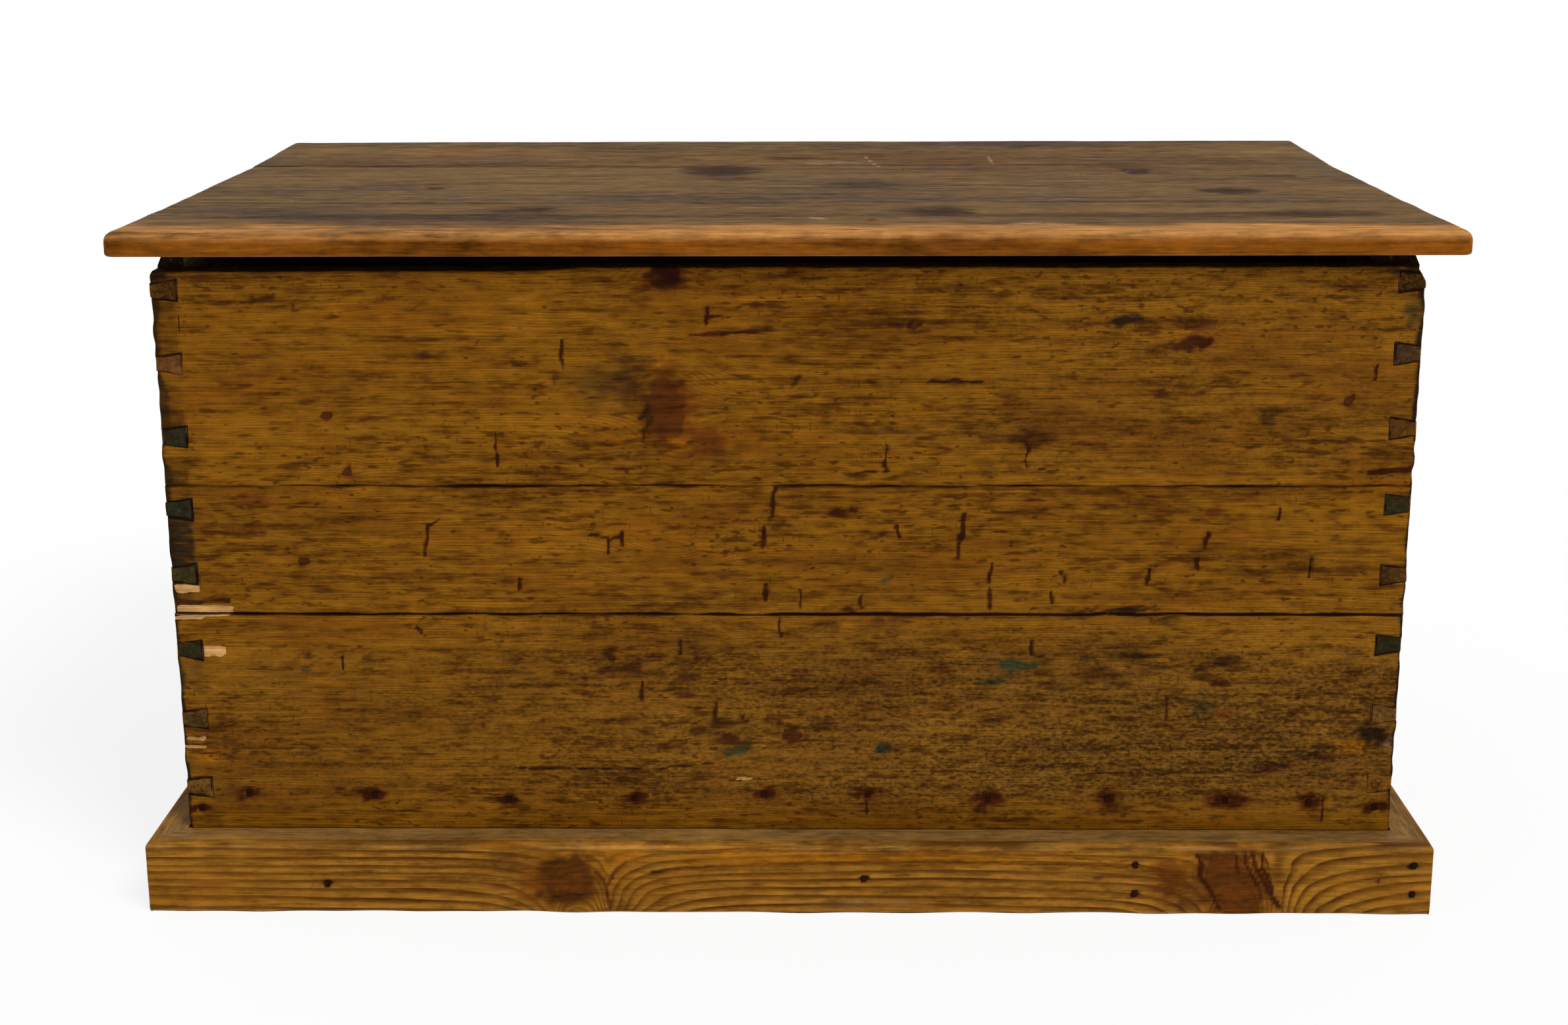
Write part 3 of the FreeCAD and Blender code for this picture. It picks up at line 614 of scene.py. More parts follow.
def front_push(x, z, flat, seam, top, gap, uneven, cracks, bare, number):
    """How far the face is pushed in, as a sum: the joints, the top edge and the corners by the
    square of how worn they are, the sockets' arrises, swell and ripple, cracks, a dent over
    each nail of e to the minus fourth power of the distance, and broken wood."""
    push = (0.45 + 0.3 * uneven) * MM * worn(seam, SEAM_LIP) ** 2
    push += 1.4 * MM * worn(top, 2.0) ** 2
    push += (0.55 + 0.25 * uneven) * MM * worn(gap, LIP)
    push += (1.3 + 0.7 * uneven) * MM * worn(CASE_END - abs(x), 3.0) ** 2
    push += 0.16 * MM * waves(flat, (0.16, 0.16, 0.05), number + SWELL)
    push += 0.05 * MM * waves(flat, (0.03, 0.03, 0.006), number + RIPPLE)
    push += 0.8 * MM * cracks
    nails = np.zeros_like(x)
    for nx, nz in FRONT_NAILS:
        reach = ((x - nx * MM) / (4.2 * MM)) ** 2 + ((z - nz * MM) / (4.6 * MM)) ** 2
        nails = np.maximum(nails, np.exp(-reach ** 2))
    push += 1.0 * MM * nails
    push += 0.8 * MM * ease(bare * 4)
    push += 1.6 * MM * ease(oval_field(x, z, BROKEN_KNOT, 1.25) * 2)
    return np.maximum(push, -0.3 * MM)


def front_tint(x, z, low, high, seam, top, uneven, shift, wobble, number):
    """The colour over one front board: chance dirt, then the known spots and nail stains, then
    dark lines along its cracks and its joints, painted shade down both ends of the case and along
    its top edge under the lid, and a darker wash over the left tails."""
    spots = list(FRONT_SPOTS)
    for (nx, nz), (wide, tall) in zip(FRONT_NAILS, NAIL_STAINS):
        spots.append((nx, nz, wide * 1.5, tall * 1.7, FOX, 0.45))
        spots.append((nx, nz, wide * 1.1, tall * 1.1, RUST, 0.97))
    spots.append((150, 73, 5, 7, BROWN, 0.7))
    if low == 0.0:
        spots = scattered(7, (-0.22, 0.44), (0.09, 0.23), 50, (BROWN, RUST, SOOT_AND_SHADE, BROWN)) + spots
    spots = scattered(number, (-0.44, 0.44), (low, high), 22, (BROWN, FOX, RUST, BROWN)) + spots
    tint = spotted(x + shift, z + 0.5 * shift, spots)
    beside = [crack[:4] + (crack[4] * 1.6,) for crack in FRONT_CRACKS]
    tint = laid(tint, RUST, 0.9 * ease(1.7 * cracked(x + wobble, z + wobble, beside)))
    tint = laid(tint, RUST, settled(seam, 1.3, 1.8) * (0.6 + 0.3 * uneven))
    # Painted shade: a soot-dark line down both ends of the case, wider on the left, where the
    # rounded edges turn from the light.
    arris = np.where(x < 0, np.where(z > 0.17, 5.0, 3.2), np.where(z > 0.38, 4.0, 2.6)) * MM
    tint = laid(tint, SOOT_AND_SHADE, 1.3 - (CASE_END - abs(x)) / arris + 0.3 * uneven)
    # Painted shade: the top of the board is darkened under the lid's overhang.
    tint = laid(tint, SOOT_AND_SHADE, 0.75 - top / (2.0 * MM) + 0.2 * uneven)
    left_tails = ease((-x - BASE_LINE + 4 * MM) / (8 * MM)) * (z > 0.17)
    return laid(tint, MURK, (0.3 + 0.15 * uneven) * left_tails)


def front_wear(x, z, seam, gap, uneven, cracks, bare):
    """The wear of one front board and its open joints alone. The joints, the sockets' outlines
    and the cracks are dark lines, and specks gather low down and to the right."""
    joint = settled(seam, 1.4, 1.4) * (0.75 + 0.15 * uneven)
    joint *= np.where(z < 0.3, 1.0 + 0.45 * ease(x / 0.2 + 0.6), 0.62)
    around = settled(gap, 1.25, 1.2) * (0.9 + 0.3 * uneven)
    around *= np.where(x < 0, 1.0, np.where(z < 0.12, 0.55, 0.85))
    scribe = cracked(abs(x), z, SCRIBE_LINE) * (x < 0)
    groove = np.maximum(np.maximum(joint, around), np.maximum(cracks * 0.5, scribe))
    crowd = 0.1 + 0.9 * ease((x + 0.35) / 0.5) * ease((0.3 - z) / 0.2)
    crowd += 0.3 * ease((z - 0.34) / 0.02) * ease((x - 0.05) / 0.2)
    crowd += 0.35 * ease((0.235 - z) / 0.05)
    crowd *= 0.1 + 0.9 * ease((z - 0.055) / 0.045)
    return wear_field(np.clip(groove, 0, 1), ease(bare * 3), crowd, 0.0), joint


def front_board(name, low, high, pith, lean, number):
    """One front board: a grid in x and z, its rows led to the pins' edges at both ends, its
    tails nibbled short by the cube of how far out they are, and its face pushed in by wear."""
    rows, cols = stations(low, high, 2.1 * MM), front_cols(low, high)
    is_top = high == FRONT_HIGH_EDGE
    z = tail_grid(rows, cols)
    x = np.broadcast_to(cols, z.shape).copy()
    if is_top:
        z += (front_edge(x) - high) * ease((z - high + 30 * MM) / (30 * MM))
    flat = np.stack([x, np.zeros_like(x), z], -1)
    out = np.clip((abs(x) - BASE_LINE) / WALL, 0, 1)
    nibble = 0.5 * MM + 0.35 * MM * waves(flat, (0.04, 0.04, 0.02), number + 40)
    side = np.sign(x)
    broken = np.where(side > 0, chip(1, z), chip(-1, z))
    x = x - side * out ** 3 * np.clip(nibble, 0.05 * MM, 1.8 * MM) - side * out * broken

    seam = np.minimum(z - low, np.where(is_top, 1.0, high - z))
    top = front_edge(x) - z if is_top else np.full_like(z, 1.0)
    gap = pin_gap(x, z)
    uneven = waves(flat, (0.05, 0.05, 0.03), number + UNEVEN)
    shift = 2.2 * MM * waves(flat, (0.012, 0.012, 0.009), number + BLUR)
    wobble = 0.5 * MM * waves(flat, (0.02, 0.02, 0.012), number + 10)
    cracks = cracked(x + wobble, z + wobble, FRONT_CRACKS)
    cracks *= np.clip(0.9 + 0.25 * waves(flat, (0.03, 0.03, 0.012), number + 11), 0.5, 1.0)
    bare = oval_field(x + 1.5 * wobble, z, FRONT_BARE, 1.25, 5)
    push = front_push(x, z, flat, seam, top, gap, uneven, cracks, bare, number)
    outer = np.stack([x, CASE_FRONT + push, z], -1)
    inner = np.stack([x, np.full_like(x, INSIDE_FRONT), z], -1)
    places, share, source, quads = slab(outer, inner, tail_cells(rows, cols),
                                        (0.03, 0.12, 0.5, 0.88, 0.97))

    inside = (share > INNER_FACE) & (abs(places[:, 0]) < BASE_LINE)
    tail_end = (share > 0.001) & (abs(places[:, 0]) > CASE_END - TAIL_SKIN)
    tint = gathered(front_tint(x, z, low, high, seam, top, uneven, shift, wobble, number), source)
    tint[:, 3] *= skin_deep(share)
    tint[tail_end] = tone(UMBER)[:3] + (0.75,)
    wear, joint = front_wear(x, z, seam, gap, uneven, cracks, bare)
    wear = gathered(wear, source) * skin_deep(share)[:, None]
    wear[:, 3] = np.where(inside, 0.9, np.where((share > 0.2) & ~tail_end, 0.45, 0.0))
    wear[:, 0] = np.where(inside, gathered(joint, source), wear[:, 0])
    if is_top:
        # Painted shade: the board's top edge under the lid is made near black, with dark specks.
        rim = (share > 0) & (places[:, 2] > FRONT_LOW_EDGE - 1 * MM)
        wear[:, 2] = np.where(rim, 1.2, wear[:, 2])
        tint[rim] = tone(UNDER_LID_SHADE)[:3] + (0.85,)
    knots = gathered(oval_field(x + shift, z, FRONT_KNOTS), source)
    piece = timber(name, (places, quads), (0, 2, 1), (low + pith[0], CASE_FRONT + pith[1]), lean,
                   FRONT_KNOTS, 0.0, {"knot": knots, "wear": wear, "tint": tint}, number)
    piece.data.materials.append(front_material)
    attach(piece, "case")
    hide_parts(name)


for number, (name, (low, high, pith, lean)) in enumerate(FRONT_BOARDS.items()):
    front_board(name, low, high, pith, lean, number + 1)

# ---- Ends -------------------------------------------------------------------------------
# Three boards at each end with their grain from front to back. Their dovetail pins come
# through the front and the back as wedges of end grain, dark with old paint and dirt.
CASE_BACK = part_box("back_top_board")[1].y
INSIDE_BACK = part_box("back_top_board")[0].y
CASE_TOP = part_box("back_top_board")[1].z
END_JOINTS = (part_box("left_end_middle_board")[0].z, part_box("left_end_top_board")[0].z)
ROSE = (90, 55, 26)
WALNUT = (60, 42, 22)
NUTMEG = (74, 44, 14)
# What each pin's end grain has taken up, from the top down, and how much of it.
PIN_FINISH = {
    -1: ((SOOT_AND_SHADE, 0.5), (ROSE, 0.85), (SLATE, 1.0), (TEAL, 0.95), (OLIVE, 1.0), (PITCH_GREEN, 1.0),
         (UMBER, 0.9), (UMBER, 0.5), (FOX, 0.3)),
    1: ((SOOT_AND_SHADE, 0.6), (WALNUT, 0.95), (NUTMEG, 0.7), (PITCH_GREEN, 0.95), (MURK, 0.8),
        (PITCH_GREEN, 0.95), (UMBER, 0.6), (FOX, 0.3), (FOX, 0.4))}
END_SHARES = (0.02, 0.06, 0.14, 0.25, 0.38, 0.5, 0.62, 0.75, 0.86, 0.94, 0.98)
SIDE_NAME = {-1: "left", 1: "right"}
depth_cols = np.concatenate([stations(CASE_FRONT, INSIDE_FRONT, 2.2 * MM, EDGE_ROWS[:3])[:-1],
                             stations(INSIDE_FRONT, INSIDE_BACK, 3.2 * MM, EDGE_ROWS[:3]),
                             stations(INSIDE_BACK, CASE_BACK, 2.2 * MM, EDGE_ROWS[:3])[1:]])
end_material = pine("end_pine_honey", (128, 84, 22), (98, 58, 12), (96, 54, 14), ring=2.6,
                    rings=0.62, specks=0.8)
END_BOARDS = {"bottom": (0.0, END_JOINTS[0], (0.30, 0.03), (0.02, 0.03)),
              "middle": (*END_JOINTS, (-0.12, 0.04), (0.03, -0.02)),
              "top": (END_JOINTS[1], CASE_TOP, (0.05, -0.09), (0.04, 0.05))}


def split(seed, u_range, v_range, count):
    """Short cracks in places drawn by chance, along the grain or nearly so."""
    rng = np.random.default_rng(seed)
    cracks = []
    for _ in range(count):
        u, v = rng.uniform(*u_range) / MM, rng.uniform(*v_range) / MM
        length = rng.uniform(10, 60)
        cracks.append((u, v, u + length, v + rng.uniform(-0.03, 0.03) * length,
                       rng.uniform(1.2, 1.9)))
    return cracks


def end_push(side, y, z, flat, low, high, shoulder, uneven, cracks, number):
    """How far an end's outer face is pushed in, as a sum: its two joints, swell and ripple, the
    shoulders by the dovetails, the corners, the broken top corner, and a bevel of 5 mm that
    starts where the front's edge is worn down and fades towards the back."""
    depth, reach = (0.6, 2.6) if high == CASE_TOP else (0.45, SEAM_LIP)
    push = (0.45 + 0.3 * uneven) * MM * worn(z - low, SEAM_LIP) ** 2
    push += depth * (1 + 0.6 * uneven) * MM * worn(high - z, reach) ** 2
    push += 0.2 * MM * waves(flat, (0.05, 0.14, 0.05), number + SWELL)
    push += 0.05 * MM * waves(flat, (0.05, 0.03, 0.006), number + RIPPLE)
    push += (0.35 + 0.2 * uneven) * MM * worn(shoulder, 1.2)
    corner = np.minimum(y - CASE_FRONT, CASE_BACK - y)
    push += (0.9 + 0.5 * uneven) * MM * worn(corner, 2.4) ** 2
    push += chip(side, z) * (y < INSIDE_FRONT)
    worn_down = np.clip((z - FRONT_LOW_EDGE) / (CASE_TOP - FRONT_LOW_EDGE), 0, 1)
    push += 5 * MM * worn_down * ease((INSIDE_FRONT + 90 * MM - y) / (70 * MM))
    push += 0.7 * MM * cracks
    return np.maximum(push, -0.3 * MM)


def end_board(side, row, low, high, pith, lean, number):
    """One end board: a grid in y and z, less the tails' room at both ends. The outer face
    has the pins' narrow heights and the inner face their wide ones, and each pin's end grain
    is sunk a little, most of all along its edges."""
    rows = stations(low, high, 2.1 * MM)
    y = np.broadcast_to(depth_cols, (len(rows), len(depth_cols))).copy()
    body = ease(np.minimum(depth_cols - INSIDE_FRONT, INSIDE_BACK - depth_cols) / (12 * MM))
    z_out, z_in = (snapped(rows, side, half / 2)[:, None] * (1 - body) + rows[:, None] * body
                   for half in (PIN_TIP, PIN_ROOT))
    flat = np.stack([np.full_like(y, side * 0.4), y, z_out], -1)
    uneven = waves(flat, (0.05, 0.05, 0.03), number + UNEVEN)
    shoulder = np.minimum(abs(y - INSIDE_FRONT), abs(y - INSIDE_BACK))
    y_range, z_range = (INSIDE_FRONT, INSIDE_BACK), (low, high)
    cracks = cracked(y, z_out, split(number, y_range, z_range, 7))
    push = end_push(side, y, z_out, flat, low, high, shoulder, uneven, cracks, number)
    outer = np.stack([side * (CASE_END - push), y, z_out], -1)
    inner = np.stack([np.full_like(y, side * BASE_LINE), y, z_in], -1)

    middle = (depth_cols[:-1] + depth_cols[1:]) / 2
    kept = np.ones((len(rows) - 1, len(depth_cols) - 1), bool)
    joint_cols = (middle < INSIDE_FRONT) | (middle > INSIDE_BACK)
    kept[np.ix_(~pin_rows(rows, side), joint_cols)] = False
    way = slice(None, None, side)
    places, share, source, quads = slab(outer[:, way], inner[:, way], kept[:, way], END_SHARES)

    x, z = places[:, 0], places[:, 2]
    pin_end = (places[:, 1] < CASE_FRONT + 1e-6) | (places[:, 1] > CASE_BACK - 1e-6)
    inset = -pin_gap(x * (CASE_END / np.maximum(abs(x).max(), CASE_END)), z)
    dull = waves(places, (0.012, 0.012, 0.012), number + 30)
    sunk = (0.5 + 0.2 * dull) * MM * worn(inset, LIP) + 0.12 * MM * dull
    toward = np.where(places[:, 1] < 0, 1.0, -1.0)
    places[:, 1] += np.where(pin_end, toward * sunk, 0.0)

    spots = scattered(number, y_range, z_range, 26, (BROWN, BROWN, MURK, OLIVE, FOX))
    tint = gathered(spotted(y, z_out, spots), source, way)
    tint[:, 3] *= skin_deep(share)
    for middle_height, (finish, cover) in zip(PIN_MIDDLES[side], PIN_FINISH[side]):
        if low < middle_height * MM < high:
            here = pin_end & (places[:, 1] < 0) & (abs(z - middle_height * MM) < PIN_ROOT)
            tint[here] = tone(finish)[:3] + (cover,)
    # Painted shade: the front of each end above the front's worn edge, where it shows under the
    # lid, is made soot-dark.
    tint[(places[:, 1] < INSIDE_FRONT + 1 * MM) & (z > FRONT_LOW_EDGE - 3 * MM)] = tone(SOOT_AND_SHADE)
    tint[pin_end & (places[:, 1] > 0)] = tone(UMBER)[:3] + (0.5,)
    joint = settled(np.minimum(z_out - low, high - z_out), 1.15, 0.9) * (0.75 + 0.2 * uneven)
    around = settled(shoulder, 1.1, 1.0) * (0.7 + 0.3 * uneven)
    groove = np.clip(np.maximum(np.maximum(joint, around), cracks), 0, 1)
    wear = gathered(wear_field(groove, 0.0, 0.25, 0.0), source, way) * skin_deep(share)[:, None]
    edge_line = settled(inset, 1.25, 1.1) * (0.8 + 0.3 * dull)
    edge_line *= np.where((x > 0) & (z < 0.12), 0.55, 1.0)
    wear[:, 0] = np.where(pin_end, np.clip(edge_line, 0, 1), wear[:, 0])
    wear[:, 0] = np.where(share > INNER_FACE, gathered(joint, source, way), wear[:, 0])
    wear[:, 2] = np.where(pin_end, 0.4, wear[:, 2])
    wear[:, 3] = np.where(share > INNER_FACE, 0.9, np.where((share > 0.2) & ~pin_end, 0.45, 0.0))
    knots = gathered(oval_field(y, z_out, END_KNOTS[side]), source, way) * skin_deep(share)
    name = f"{SIDE_NAME[side]}_end_{row}_board"
    piece = timber(name, (places, quads), (1, 2, 0), (low + pith[0], side * (CASE_END + pith[1])),
                   lean, END_KNOTS[side], 0.0, {"knot": knots, "wear": wear, "tint": tint}, number)
    piece.data.materials.append(end_material)
    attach(piece, "case")
    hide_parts(name)


END_KNOTS = {-1: ((-90, 420, 9, 8), (120, 250, 13, 10), (30, 95, 7, 7), (-160, 210, 5, 5)),
             1: ((60, 440, 11, 9), (-120, 270, 8, 8), (170, 130, 12, 9), (-30, 80, 5, 5))}
for side in (-1, 1):
    for number, (row, (low, high, pith, lean)) in enumerate(END_BOARDS.items()):
        end_board(side, row, low, high, pith, lean, 20 + 5 * side + number)

# ---- Back -------------------------------------------------------------------------------
# Three boards dovetailed like the front, but left rough and unwaxed: dry, knotty and grey
# where the chest stood against a wall.
BACK_JOINTS = (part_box("back_middle_board")[0].z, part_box("back_top_board")[0].z)
back_cols = np.concatenate([-end_cols[::-1], stations(-BASE_LINE, BASE_LINE, 4.5 * MM)[1:-1],
                            end_cols])
back_material = pine("back_pine_dry", (140, 106, 66), (106, 74, 42), (112, 76, 44), ring=3.2,
                     rings=0.75, streaks=0.5, specks=0.5, rough=0.72, knot=(70, 40, 20))
BACK_KNOTS = ((-300, 400, 14, 11), (-60, 340, 9, 8), (210, 450, 16, 12), (340, 200, 12, 12),
              (-180, 190, 15, 10), (60, 60, 10, 9), (-390, 70, 8, 7), (130, 250, 6, 6))
BACK_BOARDS = {"back_bottom_board": (0.0, BACK_JOINTS[0], (-0.08, -0.05), (0.05, 0.02)),
               "back_middle_board": (*BACK_JOINTS, (0.09, -0.06), (0.05, 0.04)),
               "back_top_board": (BACK_JOINTS[1], CASE_TOP, (0.10, -0.04), (-0.04, 0.05))}
BACK_NAILS_Z = (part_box("floor_nails_back")[0].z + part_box("floor_nails_back")[1].z) / 2
FLOOR_PITCH = 2 * BASE_LINE / 5
BACK_NAILS = [(-BASE_LINE + (i + part) * FLOOR_PITCH, BACK_NAILS_Z) for i in range(5)
              for part in (0.25, 0.75)]


def back_board(name, low, high, pith, lean, number):
    """One back board, gridded as the front is, with its outer face turned to the back and
    pushed in by joints, sockets, corners, swell and ripple, cracks and a dent over each nail."""
    rows = stations(low, high, 3.2 * MM)
    z = tail_grid(rows, back_cols)
    x = np.broadcast_to(back_cols, z.shape).copy()
    flat = np.stack([x, np.ones_like(x), z], -1)
    uneven = waves(flat, (0.05, 0.05, 0.03), number + UNEVEN)
    out = np.clip((abs(x) - BASE_LINE) / WALL, 0, 1)
    x = x - np.sign(x) * out ** 3 * np.clip(0.5 + 0.5 * uneven, 0.05, 1.4) * MM
    seam = np.minimum(z - low, high - z)
    gap = pin_gap(x, z)
    push = (0.5 + 0.3 * uneven) * MM * worn(seam, SEAM_LIP) ** 2
    push += (0.5 + 0.2 * uneven) * MM * worn(gap, LIP)
    push += (1.1 + 0.5 * uneven) * MM * worn(CASE_END - abs(x), 3) ** 2
    push += 0.3 * MM * waves(flat, (0.22, 0.16, 0.07), number + SWELL)
    push += 0.12 * MM * waves(flat, (0.14, 0.03, 0.012), number + RIPPLE)
    cracks = cracked(x, z, split(number, (-BASE_LINE, BASE_LINE), (low, high), 8))
    push += 0.8 * MM * cracks
    for nx, nz in BACK_NAILS:
        push += 1.0 * MM * np.exp(-(((x - nx) ** 2 + (z - nz) ** 2) / (4.4 * MM) ** 2) ** 2)
    outer = np.stack([x, CASE_BACK - np.maximum(push, -0.4 * MM), z], -1)
    inner = np.stack([x, np.full_like(x, INSIDE_BACK), z], -1)
    way = slice(None, None, -1)
    places, share, source, quads = slab(outer[:, way], inner[:, way],
                                        tail_cells(rows, back_cols)[:, way],
                                        (0.04, 0.14, 0.5, 0.86, 0.96))

    spots = scattered(number, (-CASE_END, CASE_END), (low, high), 30, (MURK, UMBER, BROWN))
    for nx, nz in BACK_NAILS:
        spots.append((nx / MM, nz / MM, 9, 7, FOX, 0.7))
        spots.append((nx / MM, nz / MM - 9, 3, 10, BROWN, 0.5))
    tail_end = (share > 0.001) & (abs(places[:, 0]) > CASE_END - TAIL_SKIN)
    tint = gathered(spotted(x, z, spots), source, way)
    tint[:, 3] *= skin_deep(share)
    tint[tail_end] = tone(UMBER)[:3] + (0.6,)
    joint = settled(seam, 1.15, 0.9) * (0.75 + 0.2 * uneven)
    around = settled(gap, 1.1, 1.0) * (0.8 + 0.35 * uneven)
    groove = np.clip(np.maximum(np.maximum(joint, around), cracks), 0, 1)
    wear = gathered(wear_field(groove, 0.0, 0.2, 0.15), source, way)
    wear[:, :3] *= skin_deep(share)[:, None]
    wear[:, 0] = np.where(share > INNER_FACE, gathered(joint, source, way), wear[:, 0])
    wear[:, 3] = np.where(share > 0.1, np.where(tail_end, 0.1, 0.9), wear[:, 3])
    knots = gathered(oval_field(x, z, BACK_KNOTS), source, way)
    piece = timber(name, (places, quads), (0, 2, 1), (low + pith[0], CASE_BACK + pith[1]), lean,
                   BACK_KNOTS, 0.0, {"knot": knots, "wear": wear, "tint": tint}, number)
    piece.data.materials.append(back_material)
    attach(piece, "case")
    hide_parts(name)


for number, (name, (low, high, pith, lean)) in enumerate(BACK_BOARDS.items()):
    back_board(name, low, high, pith, lean, 31 + number)

# ---- Floor ------------------------------------------------------------------------------
# Five loose-fitting boards laid from front to back and nailed through the walls. Their tops
# are dusty and stained by what the chest has held.
floor_material = pine("floor_pine_bare", (178, 140, 94), (146, 106, 62), (150, 108, 66),
                      ring=3.4, rings=0.7, streaks=0.4, specks=0.3, rough=0.75, knot=(92, 54, 28))


def floor_board(number):
    """One floor board: a grid in x and y, cupped by 0.3 mm times 1 less the square of the
    place across its width."""
    name = f"floor_board_{number}"
    low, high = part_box(name)
    cols, rows = stations(low.x, high.x, 4 * MM), stations(low.y, high.y, 5 * MM)
    x, y = np.meshgrid(cols, rows)
    flat = np.stack([x, y, np.zeros_like(x)], -1)
    middle_x = (low.x + high.x) / 2
    across = (x - middle_x) / ((high.x - low.x) / 2)
    edge = np.minimum(x - low.x, high.x - x)
    push = 0.3 * MM * (1 - across ** 2) + 0.15 * MM * waves(flat, (0.03, 0.2, 1.0), number)
    push += 0.9 * MM * worn(edge, 2) ** 2
    outer = np.stack([x, y, high.z - np.maximum(push, 0)], -1)
    inner = np.stack([x, y, np.full_like(x, low.z)], -1)
    kept = np.ones((len(rows) - 1, len(cols) - 1), bool)
    places, _, source, quads = slab(outer, inner, kept, (0.08, 0.5, 0.92))
    rng = np.random.default_rng(number + 500)
    knots = [(rng.uniform(low.x, high.x) / MM, rng.uniform(low.y, high.y) / MM,
              rng.uniform(5, 9), rng.uniform(7, 13)) for _ in range(3)]
    spots = scattered(number + 50, (low.y, high.y), (low.x, high.x), 10, (MURK, ASH, UMBER))
    fields = {"knot": gathered(oval_field(x, y, knots), source),
              "wear": gathered(wear_field(settled(edge, 1.1, 1.2) * 0.8, 0.0, 0.1, 0.4), source),
              "tint": gathered(spotted(y, x, spots), source)}
    pith = (middle_x + rng.uniform(-0.08, 0.08), low.z - 0.05)
    lean = (rng.uniform(-0.05, 0.05), 0.06)
    turned = [(kv, ku, tall, wide) for ku, kv, wide, tall in knots]
    piece = timber(name, (places, quads), (1, 0, 2), pith, lean, turned, 0.0, fields, 40 + number)
    piece.data.materials.append(floor_material)
    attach(piece, "case")
    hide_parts(name)


for number in range(1, 6):
    floor_board(number)

# ---- Plinth -----------------------------------------------------------------------------
# A moulded base board round the front and both ends, mitred at the corners and nailed on.
# Fast-grown pine with bold dark rings that sweep round two large knots on the front.
plinth_low, plinth_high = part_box("plinth_front")
PLINTH_OUT_X = plinth_high.x
PLINTH_OUT_Y = plinth_low.y
PLINTH_H = plinth_high.z
PLINTH_T = CASE_FRONT - PLINTH_OUT_Y
PLINTH_ROUND = 4.5 * MM
PLINTH_NAIL = 3.6 * MM           # how wide the dent over a nail is
# A painted highlight for the top arris, and a painted reflection for the flat top.
STRAW_HIGHLIGHT = (158, 114, 54)
SKY_SHEEN_GREY = (122, 92, 50)
ROUND_STEPS = np.radians((12, 24, 36, 48, 60, 72, 81, 90))
plinth_material = pine("plinth_pine_bold", (140, 94, 28), (70, 36, 4), (122, 74, 12), ring=6.4,
                       rings=0.85, streaks=0.8, specks=0.35, knot=(72, 34, 6), drift=1.6)
PLINTH_KNOTS = {"plinth_front": ((-171, 27, 20, 19), (335, 34, 15, 30), (350, 16, 20, 24)),
                "plinth_left": ((60, 34, 11, 9),), "plinth_right": ((-90, 22, 12, 10),)}
# Where the grain dips beside a knot: middle, depth, and reach to the left and to the right.
PLINTH_DIPS = {"plinth_front": ((378, 40, 20, 70), (380, 18, 16, 12), (325, 24, 45, 8),
                                (-138, 40, 9, 25), (-182, 26, 22, 8)),
               "plinth_left": ((76, 26, 10, 30), (46, 16, 24, 8)),
               "plinth_right": ((-72, 28, 10, 40), (-106, 14, 30, 8))}
# Stains on the front piece, as on the chest's front. Each one of soot has a nail dent in it.
PLINTH_SPOTS = (
    (-357.5, 23.5, 5, 3, SOOT_AND_SHADE, 0.9), (59.5, 29, 4, 3, SOOT_AND_SHADE, 0.8), (269, 41, 4, 3, SOOT_AND_SHADE, 0.9),
    (269, 17, 4, 2.5, SOOT_AND_SHADE, 0.8), (483, 41, 4, 2.5, SOOT_AND_SHADE, 0.9), (483, 17, 4, 2.5, SOOT_AND_SHADE, 0.9),
    (456, 28, 2, 3.5, BROWN, 0.7), (302, 38, 12, 16, OCHRE, 0.45), (291, 39, 12, 8, BROWN, 0.45),
    (302, 26, 14, 11, BROWN, 0.5), (314, 12, 15, 11, BROWN, 0.6), (342, 26, 26, 40, FOX, 0.45),
    (-217, 42, 18, 10, BROWN, 0.45), (65, 46.5, 165, 5, OCHRE, 0.6), (240, 30, 5, 3, BROWN, 0.5),
    (60, 8, 60, 5, ASH, 0.2), (-170, 28, 28, 22, FOX, 0.3), (-128, 50, 22, 8, OCHRE, 0.5),
    (295, 24, 19, 22, FOX, 0.55), (379, 20, 12, 22, BROWN, 0.35), (-199, 22, 14, 18, FOX, 0.45))
# Dark resin lines that fan out beside the right-hand knot, drawn like the cracks.
FAN_LINES = (
    (315, 54, 320, 40, 2.6), (320, 40, 318, 33, 2.8), (318, 33, 327, 20, 2.6),
    (327, 20, 336, 4, 2.4), (352, 54, 355, 40, 2.2), (355, 40, 363, 25, 2.6),
    (358, 53, 362, 38, 2.4), (362, 38, 371, 22, 2.6), (371, 22, 381, 6, 2.8),
    (366, 52, 367, 38, 2.2), (367, 38, 375, 19, 2.4), (346, 50, 348, 34, 1.8))
# Fainter ones beside the left-hand knot, and along the golden band between the two.
BAND_LINES = (
    (-148, 34, -141, 25, 2.6), (-141, 25, -138, 5, 2.8), (-138, 25, -133, 36, 2.4),
    (-133, 36, -124, 43, 2.2), (-163, 60, -155, 47, 2.0), (-100, 51, 0, 52.5, 2.2),
    (0, 52.5, 220, 52, 2.2), (-105, 34, -85, 38, 2.4), (-85, 38, -20, 41, 2.3),
    (-20, 41, 110, 43.5, 2.2), (110, 43.5, 262, 40, 2.2), (220, 47, 262, 44, 1.8))


def dipped(u, v, dips):
    """How far the grain sags beside knots: each depth times e to the minus distance over its
    reach on that side, less nine tenths of itself at the top of the plinth."""
    sag = np.zeros_like(u)
    for middle, depth, left, right in dips:
        off = u - middle * MM
        soft = np.sqrt(off ** 2 + (3 * MM) ** 2) - 3 * MM
        sag += depth * MM * np.exp(-soft / (np.where(off < 0, left, right) * MM))
    return sag * (1 - 0.9 * np.clip(v / PLINTH_H, 0, 1))


